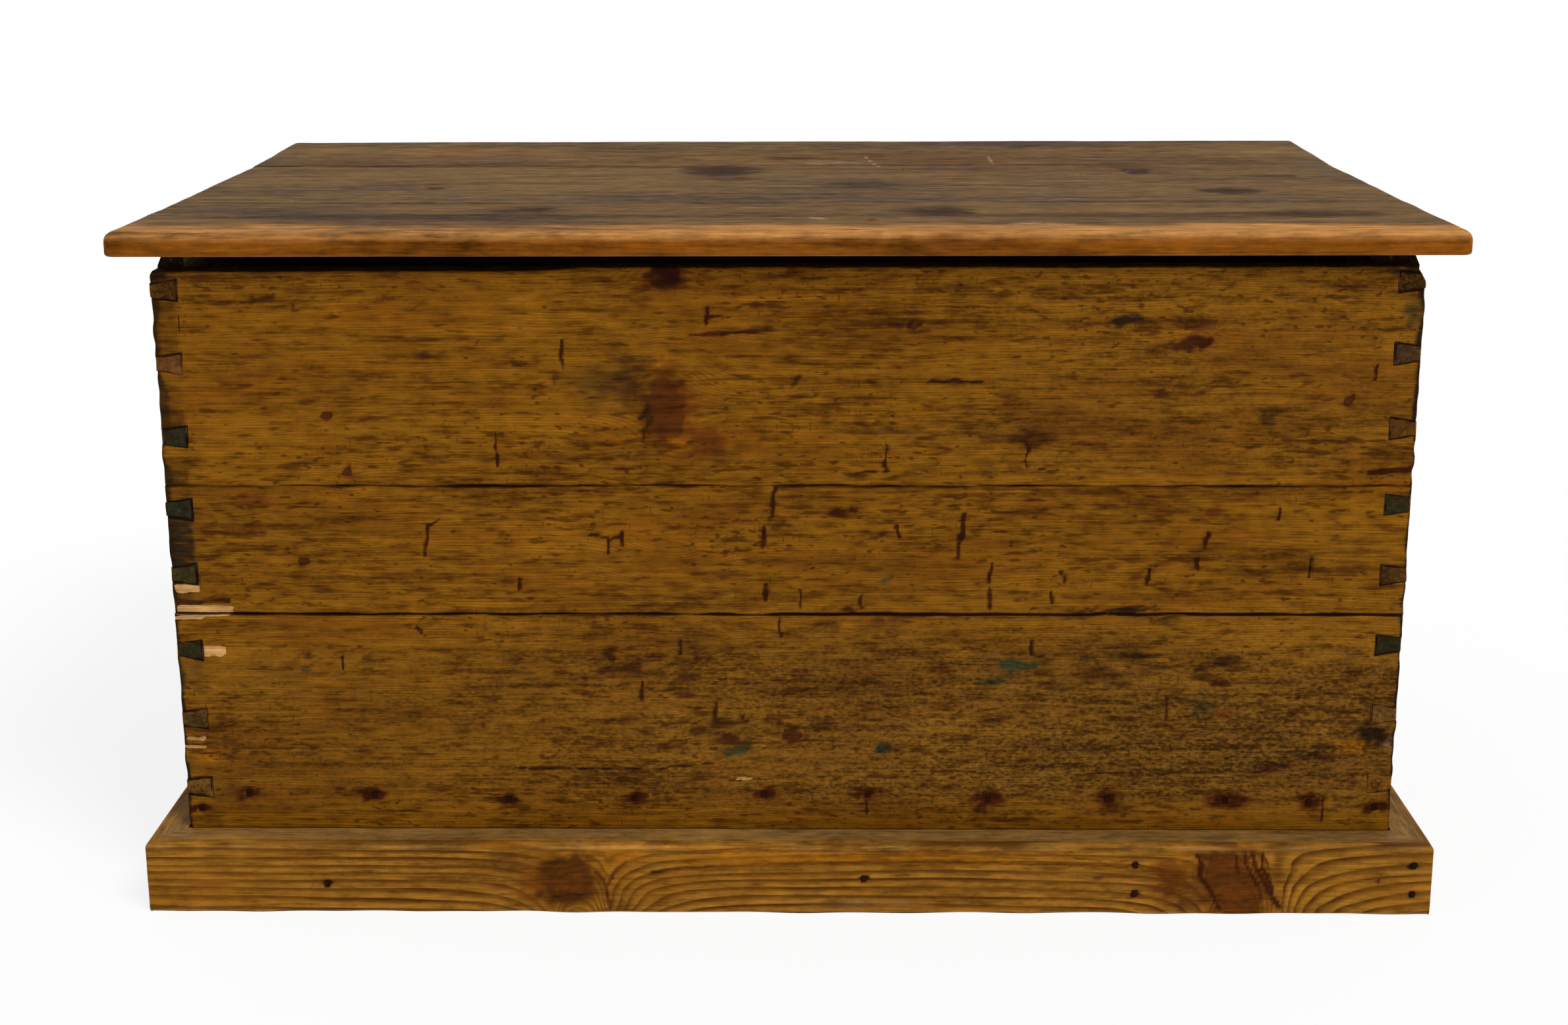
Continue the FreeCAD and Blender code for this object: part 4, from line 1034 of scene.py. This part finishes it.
def plinth_piece(name, along, out, half_out, half_in, middle, end_square, number):
    """A plinth piece with its outer face at `out`. Along it, the outer face reaches half_out
    and the inner face half_in either side of a middle, and its rows follow the face up and
    round the top arris: y = r (1 - cos a), z = H - r + r sin a."""
    sign = math.copysign(1.0, out)
    cols = stations(-half_out[0], half_out[1], 2.2 * MM, EDGE_ROWS[:3])
    share_along = (cols + half_out[0]) / (half_out[0] + half_out[1])
    inner_cols = -half_in[0] + share_along * (half_in[0] + half_in[1])
    flat_rows = stations(0.0, PLINTH_H - PLINTH_ROUND, 1.5 * MM, EDGE_ROWS[:3])
    round_z = PLINTH_H - PLINTH_ROUND + PLINTH_ROUND * np.sin(ROUND_STEPS)
    round_in = PLINTH_ROUND * (1 - np.cos(ROUND_STEPS))
    inset = np.concatenate([np.zeros_like(flat_rows), round_in])
    u, z = np.meshgrid(cols, np.concatenate([flat_rows, round_z]))
    deep = np.broadcast_to(inset[:, None], u.shape)
    flat = np.stack([u, np.full_like(u, number), z], -1)
    uneven = waves(flat, (0.06, 0.05, 0.04), number + UNEVEN)
    push = deep + 0.14 * MM * waves(flat, (0.2, 0.1, 0.05), number + SWELL)
    push += (1.2 + 0.6 * uneven) * MM * worn(z, 2.6) ** 2
    push += 0.35 * MM * np.clip(uneven - 0.9, 0, 1) * ease((z - PLINTH_H + 14 * MM) / (10 * MM))
    mitre = np.zeros_like(u)
    for edge, square in zip((u + half_out[0], half_out[1] - u), end_square):
        if not square:
            mitre += (0.15 + 0.05 * uneven) * MM * worn(edge, 1.5) ** 2
    push += mitre
    if name == "plinth_front":
        spots = PLINTH_SPOTS
    else:
        spots = scattered(number, (-0.2, 0.2), (0.0, PLINTH_H), 12, (BROWN, FOX, MURK))
    for nail in [spot for spot in spots if SOOT_AND_SHADE in spot]:
        off = (u - nail[0] * MM) ** 2 + (z - nail[1] * MM) ** 2
        push += 0.9 * MM * np.exp(-(off / PLINTH_NAIL ** 2) ** 2)
    for way_out, run, square in zip((-1, 1), half_out, end_square):
        if not square:
            mitre += deep * ease((way_out * u - run + 40 * MM) / (40 * MM))
    u_out = u - np.sign(u) * mitre
    u_in = np.broadcast_to(inner_cols, u.shape)
    z_in = np.broadcast_to(np.linspace(0, PLINTH_H, len(z))[:, None], u.shape)
    wall_side = np.full_like(u, out - sign * PLINTH_T)
    face = out - sign * push
    if along == 0:
        outer = np.stack([u_out + middle, face, z], -1)
        inner = np.stack([u_in + middle, wall_side, z_in], -1)
        way, axes = slice(None), (0, 2, 1)
    else:
        outer = np.stack([face, u_out + middle, z], -1)
        inner = np.stack([wall_side, u_in + middle, z_in], -1)
        way, axes = slice(None, None, int(sign)), (1, 2, 0)
    kept = np.ones((len(z) - 1, len(cols) - 1), bool)
    places, share, source, quads = slab(outer[:, way], inner[:, way], kept,
                                        (0.03, 0.08, 0.2, 0.35, 0.5, 0.65, 0.8, 0.92))

    shift = 1.6 * MM * waves(flat, (0.012, 0.012, 0.009), number + BLUR)
    tint = spotted(u + middle + shift, z + 0.5 * shift, spots)
    if name == "plinth_front":
        band_lines, fan_lines = (cracked(u + 0.2 * shift, z + 0.2 * shift, lines)
                                 for lines in (BAND_LINES, FAN_LINES))
        tint = laid(tint, BROWN, 0.75 * ease(1.2 * band_lines))
        tint = laid(tint, RUST, 0.95 * ease(1.5 * fan_lines))
    # Painted highlight: a pale straw band along the rounded top arris, as if lit.
    arris_highlight = np.exp(-((z - PLINTH_H + 3 * MM) / (2.6 * MM)) ** 2)
    tint = gathered(laid(tint, STRAW_HIGHLIGHT, arris_highlight * (0.55 + 0.2 * uneven)), source, way)
    tint[:, 3] *= skin_deep(share, 1.2)
    on_top = places[:, 2] > PLINTH_H - 0.5 * MM
    # Painted reflection: the flat top is made paler and greyer, as the sky shows in it.
    tint[on_top & (share > 0.05) & (share < INNER_FACE)] = tone(SKY_SHEEN_GREY)[:3] + (0.65,)
    wear = gathered(wear_field(settled(z, 1.2, 1.2) * 0.7, 0.0, 0.15, 0.0), source, way)
    against_wall = np.clip((share * on_top - 0.93) * 14, 0, 0.9)
    wear[:, 0] = np.maximum(wear[:, 0] * skin_deep(share, 1.2), against_wall)
    wear[:, 3] = np.where(places[:, 2] < 1 * MM, 0.8, 0.0)
    knots = oval_field(u + middle + 1.5 * shift, z + shift, PLINTH_KNOTS[name])
    knots = gathered(knots, source, way)
    pith = (-0.062, out - sign * 0.03) if name == "plinth_front" else (-0.05, out - sign * 0.05)
    sag = dipped(places[:, axes[0]], places[:, 2], PLINTH_DIPS[name])
    piece = timber(name, (places, quads), axes, pith, (0.004, 0.0), (), sag,
                   {"knot": knots, "wear": wear, "tint": tint}, number)
    piece.data.materials.append(plinth_material)
    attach(piece, "case")
    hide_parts(name)


plinth_piece("plinth_front", 0, PLINTH_OUT_Y, (PLINTH_OUT_X,) * 2, (CASE_END,) * 2, 0.0,
             (False, False), 51)
plinth_middle = (PLINTH_OUT_Y + CASE_BACK) / 2
half_run = (CASE_BACK - PLINTH_OUT_Y) / 2
for name, out, number in (("plinth_left", -PLINTH_OUT_X, 52), ("plinth_right", PLINTH_OUT_X, 53)):
    plinth_piece(name, 1, out, (half_run, half_run), (half_run - PLINTH_T, half_run),
                 plinth_middle, (False, True), number)

# ---- Lid --------------------------------------------------------------------------------
# Three glued boards that have cupped a little along their joints, with a rounded front edge
# and ends. The top is rubbed thin and greyed by use, and the front edge is still orange.
LID_T = 18 * MM
LID_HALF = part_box("lid_front_board")[1].x
LID_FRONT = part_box("lid_front_board")[0].y
LID_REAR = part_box("lid_rear_board")[1].y
LID_JOINTS = (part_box("lid_middle_board")[0].y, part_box("lid_middle_board")[1].y)
LID_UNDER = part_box("lid_middle_board")[0].z
LID_TILTS = (math.radians(0.5), math.radians(1.75))
TOP_ROUND, UNDER_ROUND, PLAN_ROUND = 8 * MM, 2 * MM, 10 * MM
ROUND_ROWS = np.concatenate([TOP_ROUND * (1 - np.cos(np.radians((0, 15, 30, 45, 60, 75, 90)))),
                             (10.5 * MM,)])
FLAT_FROM = 12 * MM              # how far in from the outline the even grid starts
HINGE_X = 300 * MM
hinge_low, hinge_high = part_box("left_hinge_pin")
HINGE_Y = (hinge_low.y + hinge_high.y) / 2
HINGE_Z = (hinge_low.z + hinge_high.z) / 2
HINGE_ROOM = 42 * MM             # half the length of the hollow over each hinge
BARREL_ROOM = 4.4 * MM           # its radius about the pin
PLUM = (50, 32, 22)
SIENNA = (100, 52, 18)
GREY_OAK = (92, 76, 60)
KHAKI = (104, 80, 46)
DRAB = (110, 84, 50)
DUN = (122, 88, 60)
FAWN = (124, 86, 50)
SADDLE = (128, 88, 44)
BUFF = (122, 98, 66)
AMBER = (170, 118, 64)
RUSSET_SHADE = (116, 64, 9)
CREAM = (176, 146, 112)
lid_material = pine("lid_pine_greyed", (107, 83, 50), (77, 56, 33), (91, 65, 43), ring=3.0,
                    streaks=1.5, specks=0.25, knot=(64, 42, 30), rough=0.65, shine=0.015, bump=0.3,
                    clouds=1.8)
LID_KNOTS = ((-62, 93, 16, 18), (308, 83, 9, 11), (-200, -148, 9, 10), (120, -162, 10, 10),
             (-298, -20, 4, 5), (366, -47, 8, 9), (440, 49, 6, 6))
LID_SPOTS = (
    (-300, -188, 175, 18, PLUM, 0.6), (-30, -183, 210, 12, PLUM, 0.5),
    (310, -183, 180, 19, PLUM, 0.55), (413, -175, 48, 24, PLUM, 0.5),
    (-100, 173, 420, 60, FOX, 0.2), (250, 133, 260, 110, ROSE, 0.25),
    (-62, 88, 38, 42, PLUM, 0.9), (-53, 33, 30, 12, UMBER, 0.7), (63, -5, 40, 26, PLUM, 0.6),
    (310, 81, 14, 21, PLUM, 0.95), (305, 121, 28, 26, UMBER, 0.6), (420, 46, 24, 12, UMBER, 0.8),
    (366, -47, 30, 22, PLUM, 0.8), (-207, -152, 40, 22, PLUM, 0.6),
    (-193, -145, 8, 10, SOOT_AND_SHADE, 0.6), (115, -155, 38, 28, PLUM, 0.7),
    (127, -168, 16, 12, PLUM, 0.7), (-328, 179, 28, 8, ROSE, 0.8), (-125, 173, 30, 6, UMBER, 0.6),
    (-2, 171, 28, 9, PLUM, 0.55), (-240, 121, 190, 7, UMBER, 0.6), (117, 126, 70, 7, UMBER, 0.55),
    (-200, -111, 200, 4, UMBER, 0.5), (-60, -131, 150, 4, UMBER, 0.4),
    (-298, -20, 6, 10, BROWN, 0.9), (-300, 163, 60, 24, GREY_OAK, 0.35),
    (42, 143, 35, 14, CREAM, 0.2), (297, 163, 30, 7, CREAM, 0.25), (20, -200, 10, 7, CREAM, 0.6),
    (188, -233, 13, 5, CREAM, 0.35), (67, -209, 6, 9, BROWN, 0.8),
    (-488, 113, 22, 190, GREY_OAK, 0.35), (488, 113, 22, 190, GREY_OAK, 0.35),
    (-310, 213, 60, 12, ROSE, 0.4), (-400, 143, 60, 20, UMBER, 0.5),
    (300, 243, 40, 10, UMBER, 0.5), (-330, 127, 175, 5, BROWN, 0.55),
    (110, 125, 100, 7, BROWN, 0.4), (-420, -108, 90, 4, BROWN, 0.5),
    (-230, 10, 90, 4, UMBER, 0.5), (-330, 24, 60, 6, UMBER, 0.4), (180, 30, 60, 6, UMBER, 0.5),
    (-160, -70, 120, 5, UMBER, 0.35), (400, 150, 40, 18, UMBER, 0.5),
    (0, -60, 60, 8, GREY_OAK, 0.4), (-100, -100, 200, 10, GREY_OAK, 0.45),
    (260, -95, 120, 8, BUFF, 0.5), (280, -118, 90, 5, SADDLE, 0.6), (-60, -140, 160, 5, FAWN, 0.5),
    (-300, -140, 60, 5, DUN, 0.4), (150, 60, 90, 14, DRAB, 0.5), (-330, 60, 120, 16, KHAKI, 0.5))
LID_CRACKS = ((-474, -101, -240, -101.5, 1.3), (-200, -105, 60, -106, 0.9),
              (103, 104, 103, 81, 1.8), (-430, 63, -120, 62, 0.8), (-20, 60, 240, 58, 0.8))
# Pale scratches, drawn like the cracks.
LID_SCRATCHES = ((70, 184, 81, 114, 1.8), (187, 181, 186, 133, 1.0), (60, 163, 72, 159, 0.8),
                 (-260, -140, 60, -152, 0.5), (-420, 20, -300, -60, 0.5), (220, 40, 330, 90, 0.5))
LID_BOARDS = {"lid_front_board": (LID_FRONT, LID_JOINTS[0], (0.03, -0.07), (0.04, 0.01)),
              "lid_middle_board": (*LID_JOINTS, (0.10, -0.06), (0.06, -0.02)),
              "lid_rear_board": (LID_JOINTS[1], LID_REAR, (0.09, -0.09), (-0.05, 0.03))}


def lid_underside(y):
    """The height of the lid's underside: level in the middle, and rising outwards from both
    joints at the outer boards' tilts."""
    return LID_UNDER + np.maximum(LID_JOINTS[0] - y, 0) * math.tan(LID_TILTS[0]) \
        + np.maximum(y - LID_JOINTS[1], 0) * math.tan(LID_TILTS[1])


def round_over(distance, radius):
    """How far a quarter-round has dropped at a distance from its edge."""
    short = radius - np.clip(distance, 0, radius)
    return radius - np.sqrt(np.maximum(radius ** 2 - short ** 2, 0))


def lid_edge(x, y):
    """The distance in from the lid's outline, whose front corners are rounded in plan."""
    from_front = y - LID_FRONT
    corner_x, corner_y = abs(x) - (LID_HALF - PLAN_ROUND), PLAN_ROUND - from_front
    in_corner = (corner_x > 0) & (corner_y > 0)
    edge = np.where(in_corner, PLAN_ROUND - np.hypot(corner_x, corner_y),
                    np.minimum(LID_HALF - abs(x), from_front))
    return np.maximum(edge, 0)


def lid_tint(x, y, edge, push, uneven, shift, front):
    """The colour over one lid board: stains and pale scratches, then the orange that is left
    69 mm in from the front and 9 mm in from the ends, redder and darker as the round drops, which
    is painted shade, and one dark smudge on the front edge."""
    from_front = y - LID_FRONT
    tint = spotted(x + shift, y + 0.5 * shift, LID_SPOTS)
    tint = laid(tint, CREAM, 0.7 * ease(cracked(x, y, LID_SCRATCHES)))
    rim = ease((69 * MM - from_front + 3 * MM * uneven) / (50 * MM)) ** 1.5 if front else 0 * x
    rim = np.maximum(rim, 0.8 * ease((9 * MM - edge) / (8 * MM)))
    tint = laid(tint, AMBER, 0.97 * rim)
    # Painted shade: the orange round turns darker and redder as it drops and faces down.
    tint = laid(tint, RUSSET_SHADE, rim * ease(1.15 * push / TOP_ROUND - 0.15))
    smudge = np.exp(-((x - 135 * MM) / (48 * MM)) ** 4) * ease((22 * MM - from_front) / (12 * MM))
    return laid(tint, SIENNA, (0.5 + 0.25 * uneven) * smudge)


def lid_board(name, y_low, y_high, pith, lean, number):
    """One lid board: a grid in x and y. Its top drops in a quarter round of 8 mm and its
    underside rises in one of 2 mm towards the lid's outline, and the underside is hollowed as
    a half round over each hinge's barrel."""
    front, rear = y_low == LID_FRONT, y_high == LID_REAR
    rows = stations(y_low, y_high, 2.6 * MM)
    if front:
        rows = np.concatenate([y_low + ROUND_ROWS, rows[rows > y_low + FLAT_FROM]])
    inside = np.linspace(-LID_HALF + FLAT_FROM, LID_HALF - FLAT_FROM, 315)
    cols = np.concatenate([-LID_HALF + ROUND_ROWS, inside, (LID_HALF - ROUND_ROWS)[::-1]])
    x, y = np.meshgrid(cols, rows)
    cut_back = round_over(y - LID_FRONT, PLAN_ROUND)
    x = x - np.sign(x) * cut_back * np.clip((abs(x) - 0.9 * LID_HALF) / (0.1 * LID_HALF), 0, 1)
    flat = np.stack([x, y, np.zeros_like(x)], -1)
    uneven = waves(flat, (0.06, 0.05, 0.04), number + UNEVEN)
    edge = lid_edge(x, y)
    push = round_over(edge, TOP_ROUND)
    push += 0.16 * MM * waves(flat, (0.16, 0.05, 1.0), number + SWELL)
    push += 0.04 * MM * waves(flat, (0.03, 0.006, 1.0), number + RIPPLE)
    dents = np.clip(waves(flat, (0.02, 0.014, 1.0), number + 95) - 1.5, 0, 1)
    push += 0.5 * MM * dents * ease((24 * MM - edge) / (20 * MM))
    seam = np.minimum(np.where(front, 1.0, y - y_low), np.where(rear, 1.0, y_high - y))
    push += (0.4 + 0.25 * uneven) * MM * worn(seam, SEAM_LIP) ** 2
    if rear:
        push += 1.0 * MM * worn(y_high - y, 2.4) ** 2
    cracks = cracked(x, y, LID_CRACKS)
    push += 0.35 * MM * cracks
    under = lid_underside(y)
    barrel = np.sqrt(np.maximum(BARREL_ROOM ** 2 - (y - HINGE_Y) ** 2, 0)) + HINGE_Z
    hollow = (abs(abs(x) - HINGE_X) < HINGE_ROOM) & (barrel > HINGE_Z)
    low_side = under + round_over(edge, UNDER_ROUND)
    low_side = np.where(hollow, np.maximum(low_side, barrel), low_side)
    outer = np.stack([x, y, under + LID_T - np.maximum(push, -0.2 * MM)], -1)
    inner = np.stack([x, y, low_side], -1)
    kept = np.ones((len(rows) - 1, len(cols) - 1), bool)
    places, share, source, quads = slab(outer, inner, kept, (0.1, 0.3, 0.5, 0.7, 0.9))

    shift = 3 * MM * waves(flat, (0.03, 0.02, 1.0), number + BLUR)
    tint = gathered(lid_tint(x, y, edge, push, uneven, shift, front), source)
    groove = np.maximum(settled(seam, 1.1, 0.9) * (0.72 + 0.2 * uneven), cracks * 0.7)
    wear = gathered(wear_field(np.clip(groove, 0, 1), 0.0, 0.0, 0.0), source)
    beside_joint = gathered(seam, source) < 1 * MM
    wear[:, 0] *= np.where(share > INNER_FACE, beside_joint, skin_deep(share, 4))
    bare_wood = gathered(ease((edge - 3 * MM) / (7 * MM)), source)
    bare_wood = np.where(share > 0.95, bare_wood, 0.0)
    wear[:, 3] = 0.75 * bare_wood
    tint[:, 3] *= 1 - bare_wood
    knots = gathered(oval_field(x, y, LID_KNOTS), source)
    piece = timber(name, (places, quads), (0, 1, 2), (y_low + pith[0], LID_UNDER + pith[1]), lean,
                   LID_KNOTS, 0.0, {"knot": knots, "wear": wear, "tint": tint}, number)
    piece.data.materials.append(lid_material)
    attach(piece, "lid")
    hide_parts(name)


for number, (name, (y_low, y_high, pith, lean)) in enumerate(LID_BOARDS.items()):
    lid_board(name, y_low, y_high, pith, lean, 61 + number)

# ---- Ironwork ---------------------------------------------------------------------------
# Two wrought butt hinges with rolled knuckles, their pins and slotted screws, and the cut
# nails that hold the floor and the plinth. All of it is plain iron gone brown.


def iron(name, bright, dark, rust, rough=0.55, bare=0.85, shine=0.5):
    """Old iron: dark scale, bright where hands and wear reach it, and brown rust in patches
    of noise that have a coarse grain of their own."""
    made = bpy.data.materials.new(name)
    made.use_nodes = True
    tree = made.node_tree
    tree.nodes.clear()
    place = wired(tree, "ShaderNodeTexCoord").outputs["Object"]
    broad = grain_noise(tree, place, (140, 140, 140), 3.0, 0.6)
    fine = grain_noise(tree, place, (900, 900, 900), 3.0, 0.7)
    patch = fade(tree, calc(tree, "ADD", broad, calc(tree, "MULTIPLY", fine, 0.4)), 0.62, 0.78)
    scale = mixed(tree, fade(tree, fine, 0.4, 0.65), tone(dark), tone(bright))
    colour = mixed(tree, patch, scale, tone(rust))
    metal = calc(tree, "MULTIPLY_ADD", patch, -0.9 * bare, bare)
    gloss = calc(tree, "MULTIPLY_ADD", patch, 0.3, swing(tree, fine, 0.2, rough))
    relief = wired(tree, "ShaderNodeBump", {"Strength": 0.5, "Distance": 0.3 * MM,
                                            "Height": calc(tree, "ADD", fine, patch)})
    surface = wired(tree, "ShaderNodeBsdfPrincipled",
                    {"Base Color": colour, "Metallic": metal, "Roughness": gloss,
                     "Specular IOR Level": shine, "Normal": relief.outputs[0]})
    wired(tree, "ShaderNodeOutputMaterial", {0: surface.outputs[0]})
    return made


hinge_iron = iron("hinge_wrought_iron", (96, 84, 64), (50, 41, 30), (96, 60, 30))
pin_iron = iron("hinge_pin_iron", (140, 132, 122), (70, 64, 58), (92, 54, 30), 0.42)
screw_steel = iron("screw_steel", (150, 142, 128), (78, 72, 64), (98, 60, 34), 0.45)
nail_iron = iron("nail_rusty_iron", (40, 20, 10), (18, 8, 4), (44, 17, 6), 0.9, 0.0, 0.05)
FINISHES = {"_leaf": hinge_iron, "_pin": pin_iron, "_screws": screw_steel, "nails": nail_iron}
for name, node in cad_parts.items():
    for part, finish in FINISHES.items():
        if part in name:
            if not node.material_slots:
                node.data.materials.append(finish)
            for place in node.material_slots:
                place.material = finish

# ---- Stage ------------------------------------------------------------------------------
# A plain white floor that runs out of sight, soft light from above, in front and to the
# right, and the camera 1.4 m in front of the chest, looking down on it from 0.76 m.
FLOOR_REACH = 60.0
FLOOR_GLOW = 0.82                # how much of the floor is seen as plain white
stage_mesh = bpy.data.meshes.new("floor")
stage_mesh.from_pydata([(x * FLOOR_REACH, y * FLOOR_REACH, 0)
                        for x, y in ((-1, -1), (1, -1), (1, 1), (-1, 1))], [], [(0, 1, 2, 3)])
stage_floor = bpy.data.objects.new("floor", stage_mesh)
bpy.context.scene.collection.objects.link(stage_floor)


def seen_directly(tree):
    """1 for rays that come from the camera, a mirror-like surface or through glass."""
    path = wired(tree, "ShaderNodeLightPath")
    seen = calc(tree, "MAXIMUM", path.outputs["Is Camera Ray"], path.outputs["Is Glossy Ray"])
    return calc(tree, "MAXIMUM", seen, path.outputs["Is Transmission Ray"])


paper = bpy.data.materials.new("white_floor")
paper.use_nodes = True
tree = paper.node_tree
tree.nodes.clear()
matt = wired(tree, "ShaderNodeBsdfDiffuse", {"Color": (0.95, 0.95, 0.95, 1.0)})
glow = wired(tree, "ShaderNodeEmission", {"Color": (1.0, 1.0, 1.0, 1.0), "Strength": 1.0})
veil = calc(tree, "MULTIPLY", seen_directly(tree), FLOOR_GLOW)
both = wired(tree, "ShaderNodeMixShader", {0: veil, 1: matt.outputs[0], 2: glow.outputs[0]})
wired(tree, "ShaderNodeOutputMaterial", {0: both.outputs[0]})
stage_mesh.materials.append(paper)

world = bpy.data.worlds.new("studio")
world.use_nodes = True
tree = world.node_tree
tree.nodes.clear()
plain = wired(tree, "ShaderNodeBackground", {"Color": (1.0, 1.0, 1.0, 1.0), "Strength": 0.6})
white = wired(tree, "ShaderNodeBackground", {"Color": (1.0, 1.0, 1.0, 1.0), "Strength": 1.0})
both = wired(tree, "ShaderNodeMixShader", {0: seen_directly(tree), 1: plain.outputs[0],
                                           2: white.outputs[0]})
wired(tree, "ShaderNodeOutputWorld", {0: both.outputs[0]})
bpy.context.scene.world = world

SUN_TILT, SUN_TURN = math.radians(40), math.radians(46)
sky = bpy.data.lights.new("window", "SUN")
sky.energy = 1.9
sky.angle = math.radians(22)
window = bpy.data.objects.new("window", sky)
window.rotation_euler = (SUN_TILT, 0.0, SUN_TURN)
bpy.context.scene.collection.objects.link(window)

IMAGE_WIDTH = 2380
FOCAL_PIXELS = 3004
SENSOR = 36.0
PITCH, YAW, ROLL = 0.2215, -0.0120, 0.0035       # radians
EYE_X, EYE_AHEAD, EYE_HEIGHT = 17.1 * MM, 1433.3 * MM, 761 * MM
eye = bpy.data.cameras.new("camera")
eye.sensor_width = SENSOR
eye.lens = FOCAL_PIXELS / IMAGE_WIDTH * SENSOR
eye.shift_y = -0.10
camera = bpy.data.objects.new("camera", eye)
camera.location = (EYE_X, CASE_FRONT - EYE_AHEAD, EYE_HEIGHT)
camera.rotation_euler = (math.pi / 2 - PITCH, ROLL, -YAW)
bpy.context.scene.collection.objects.link(camera)
bpy.context.scene.camera = camera
bpy.context.scene.view_settings.view_transform = "Standard"
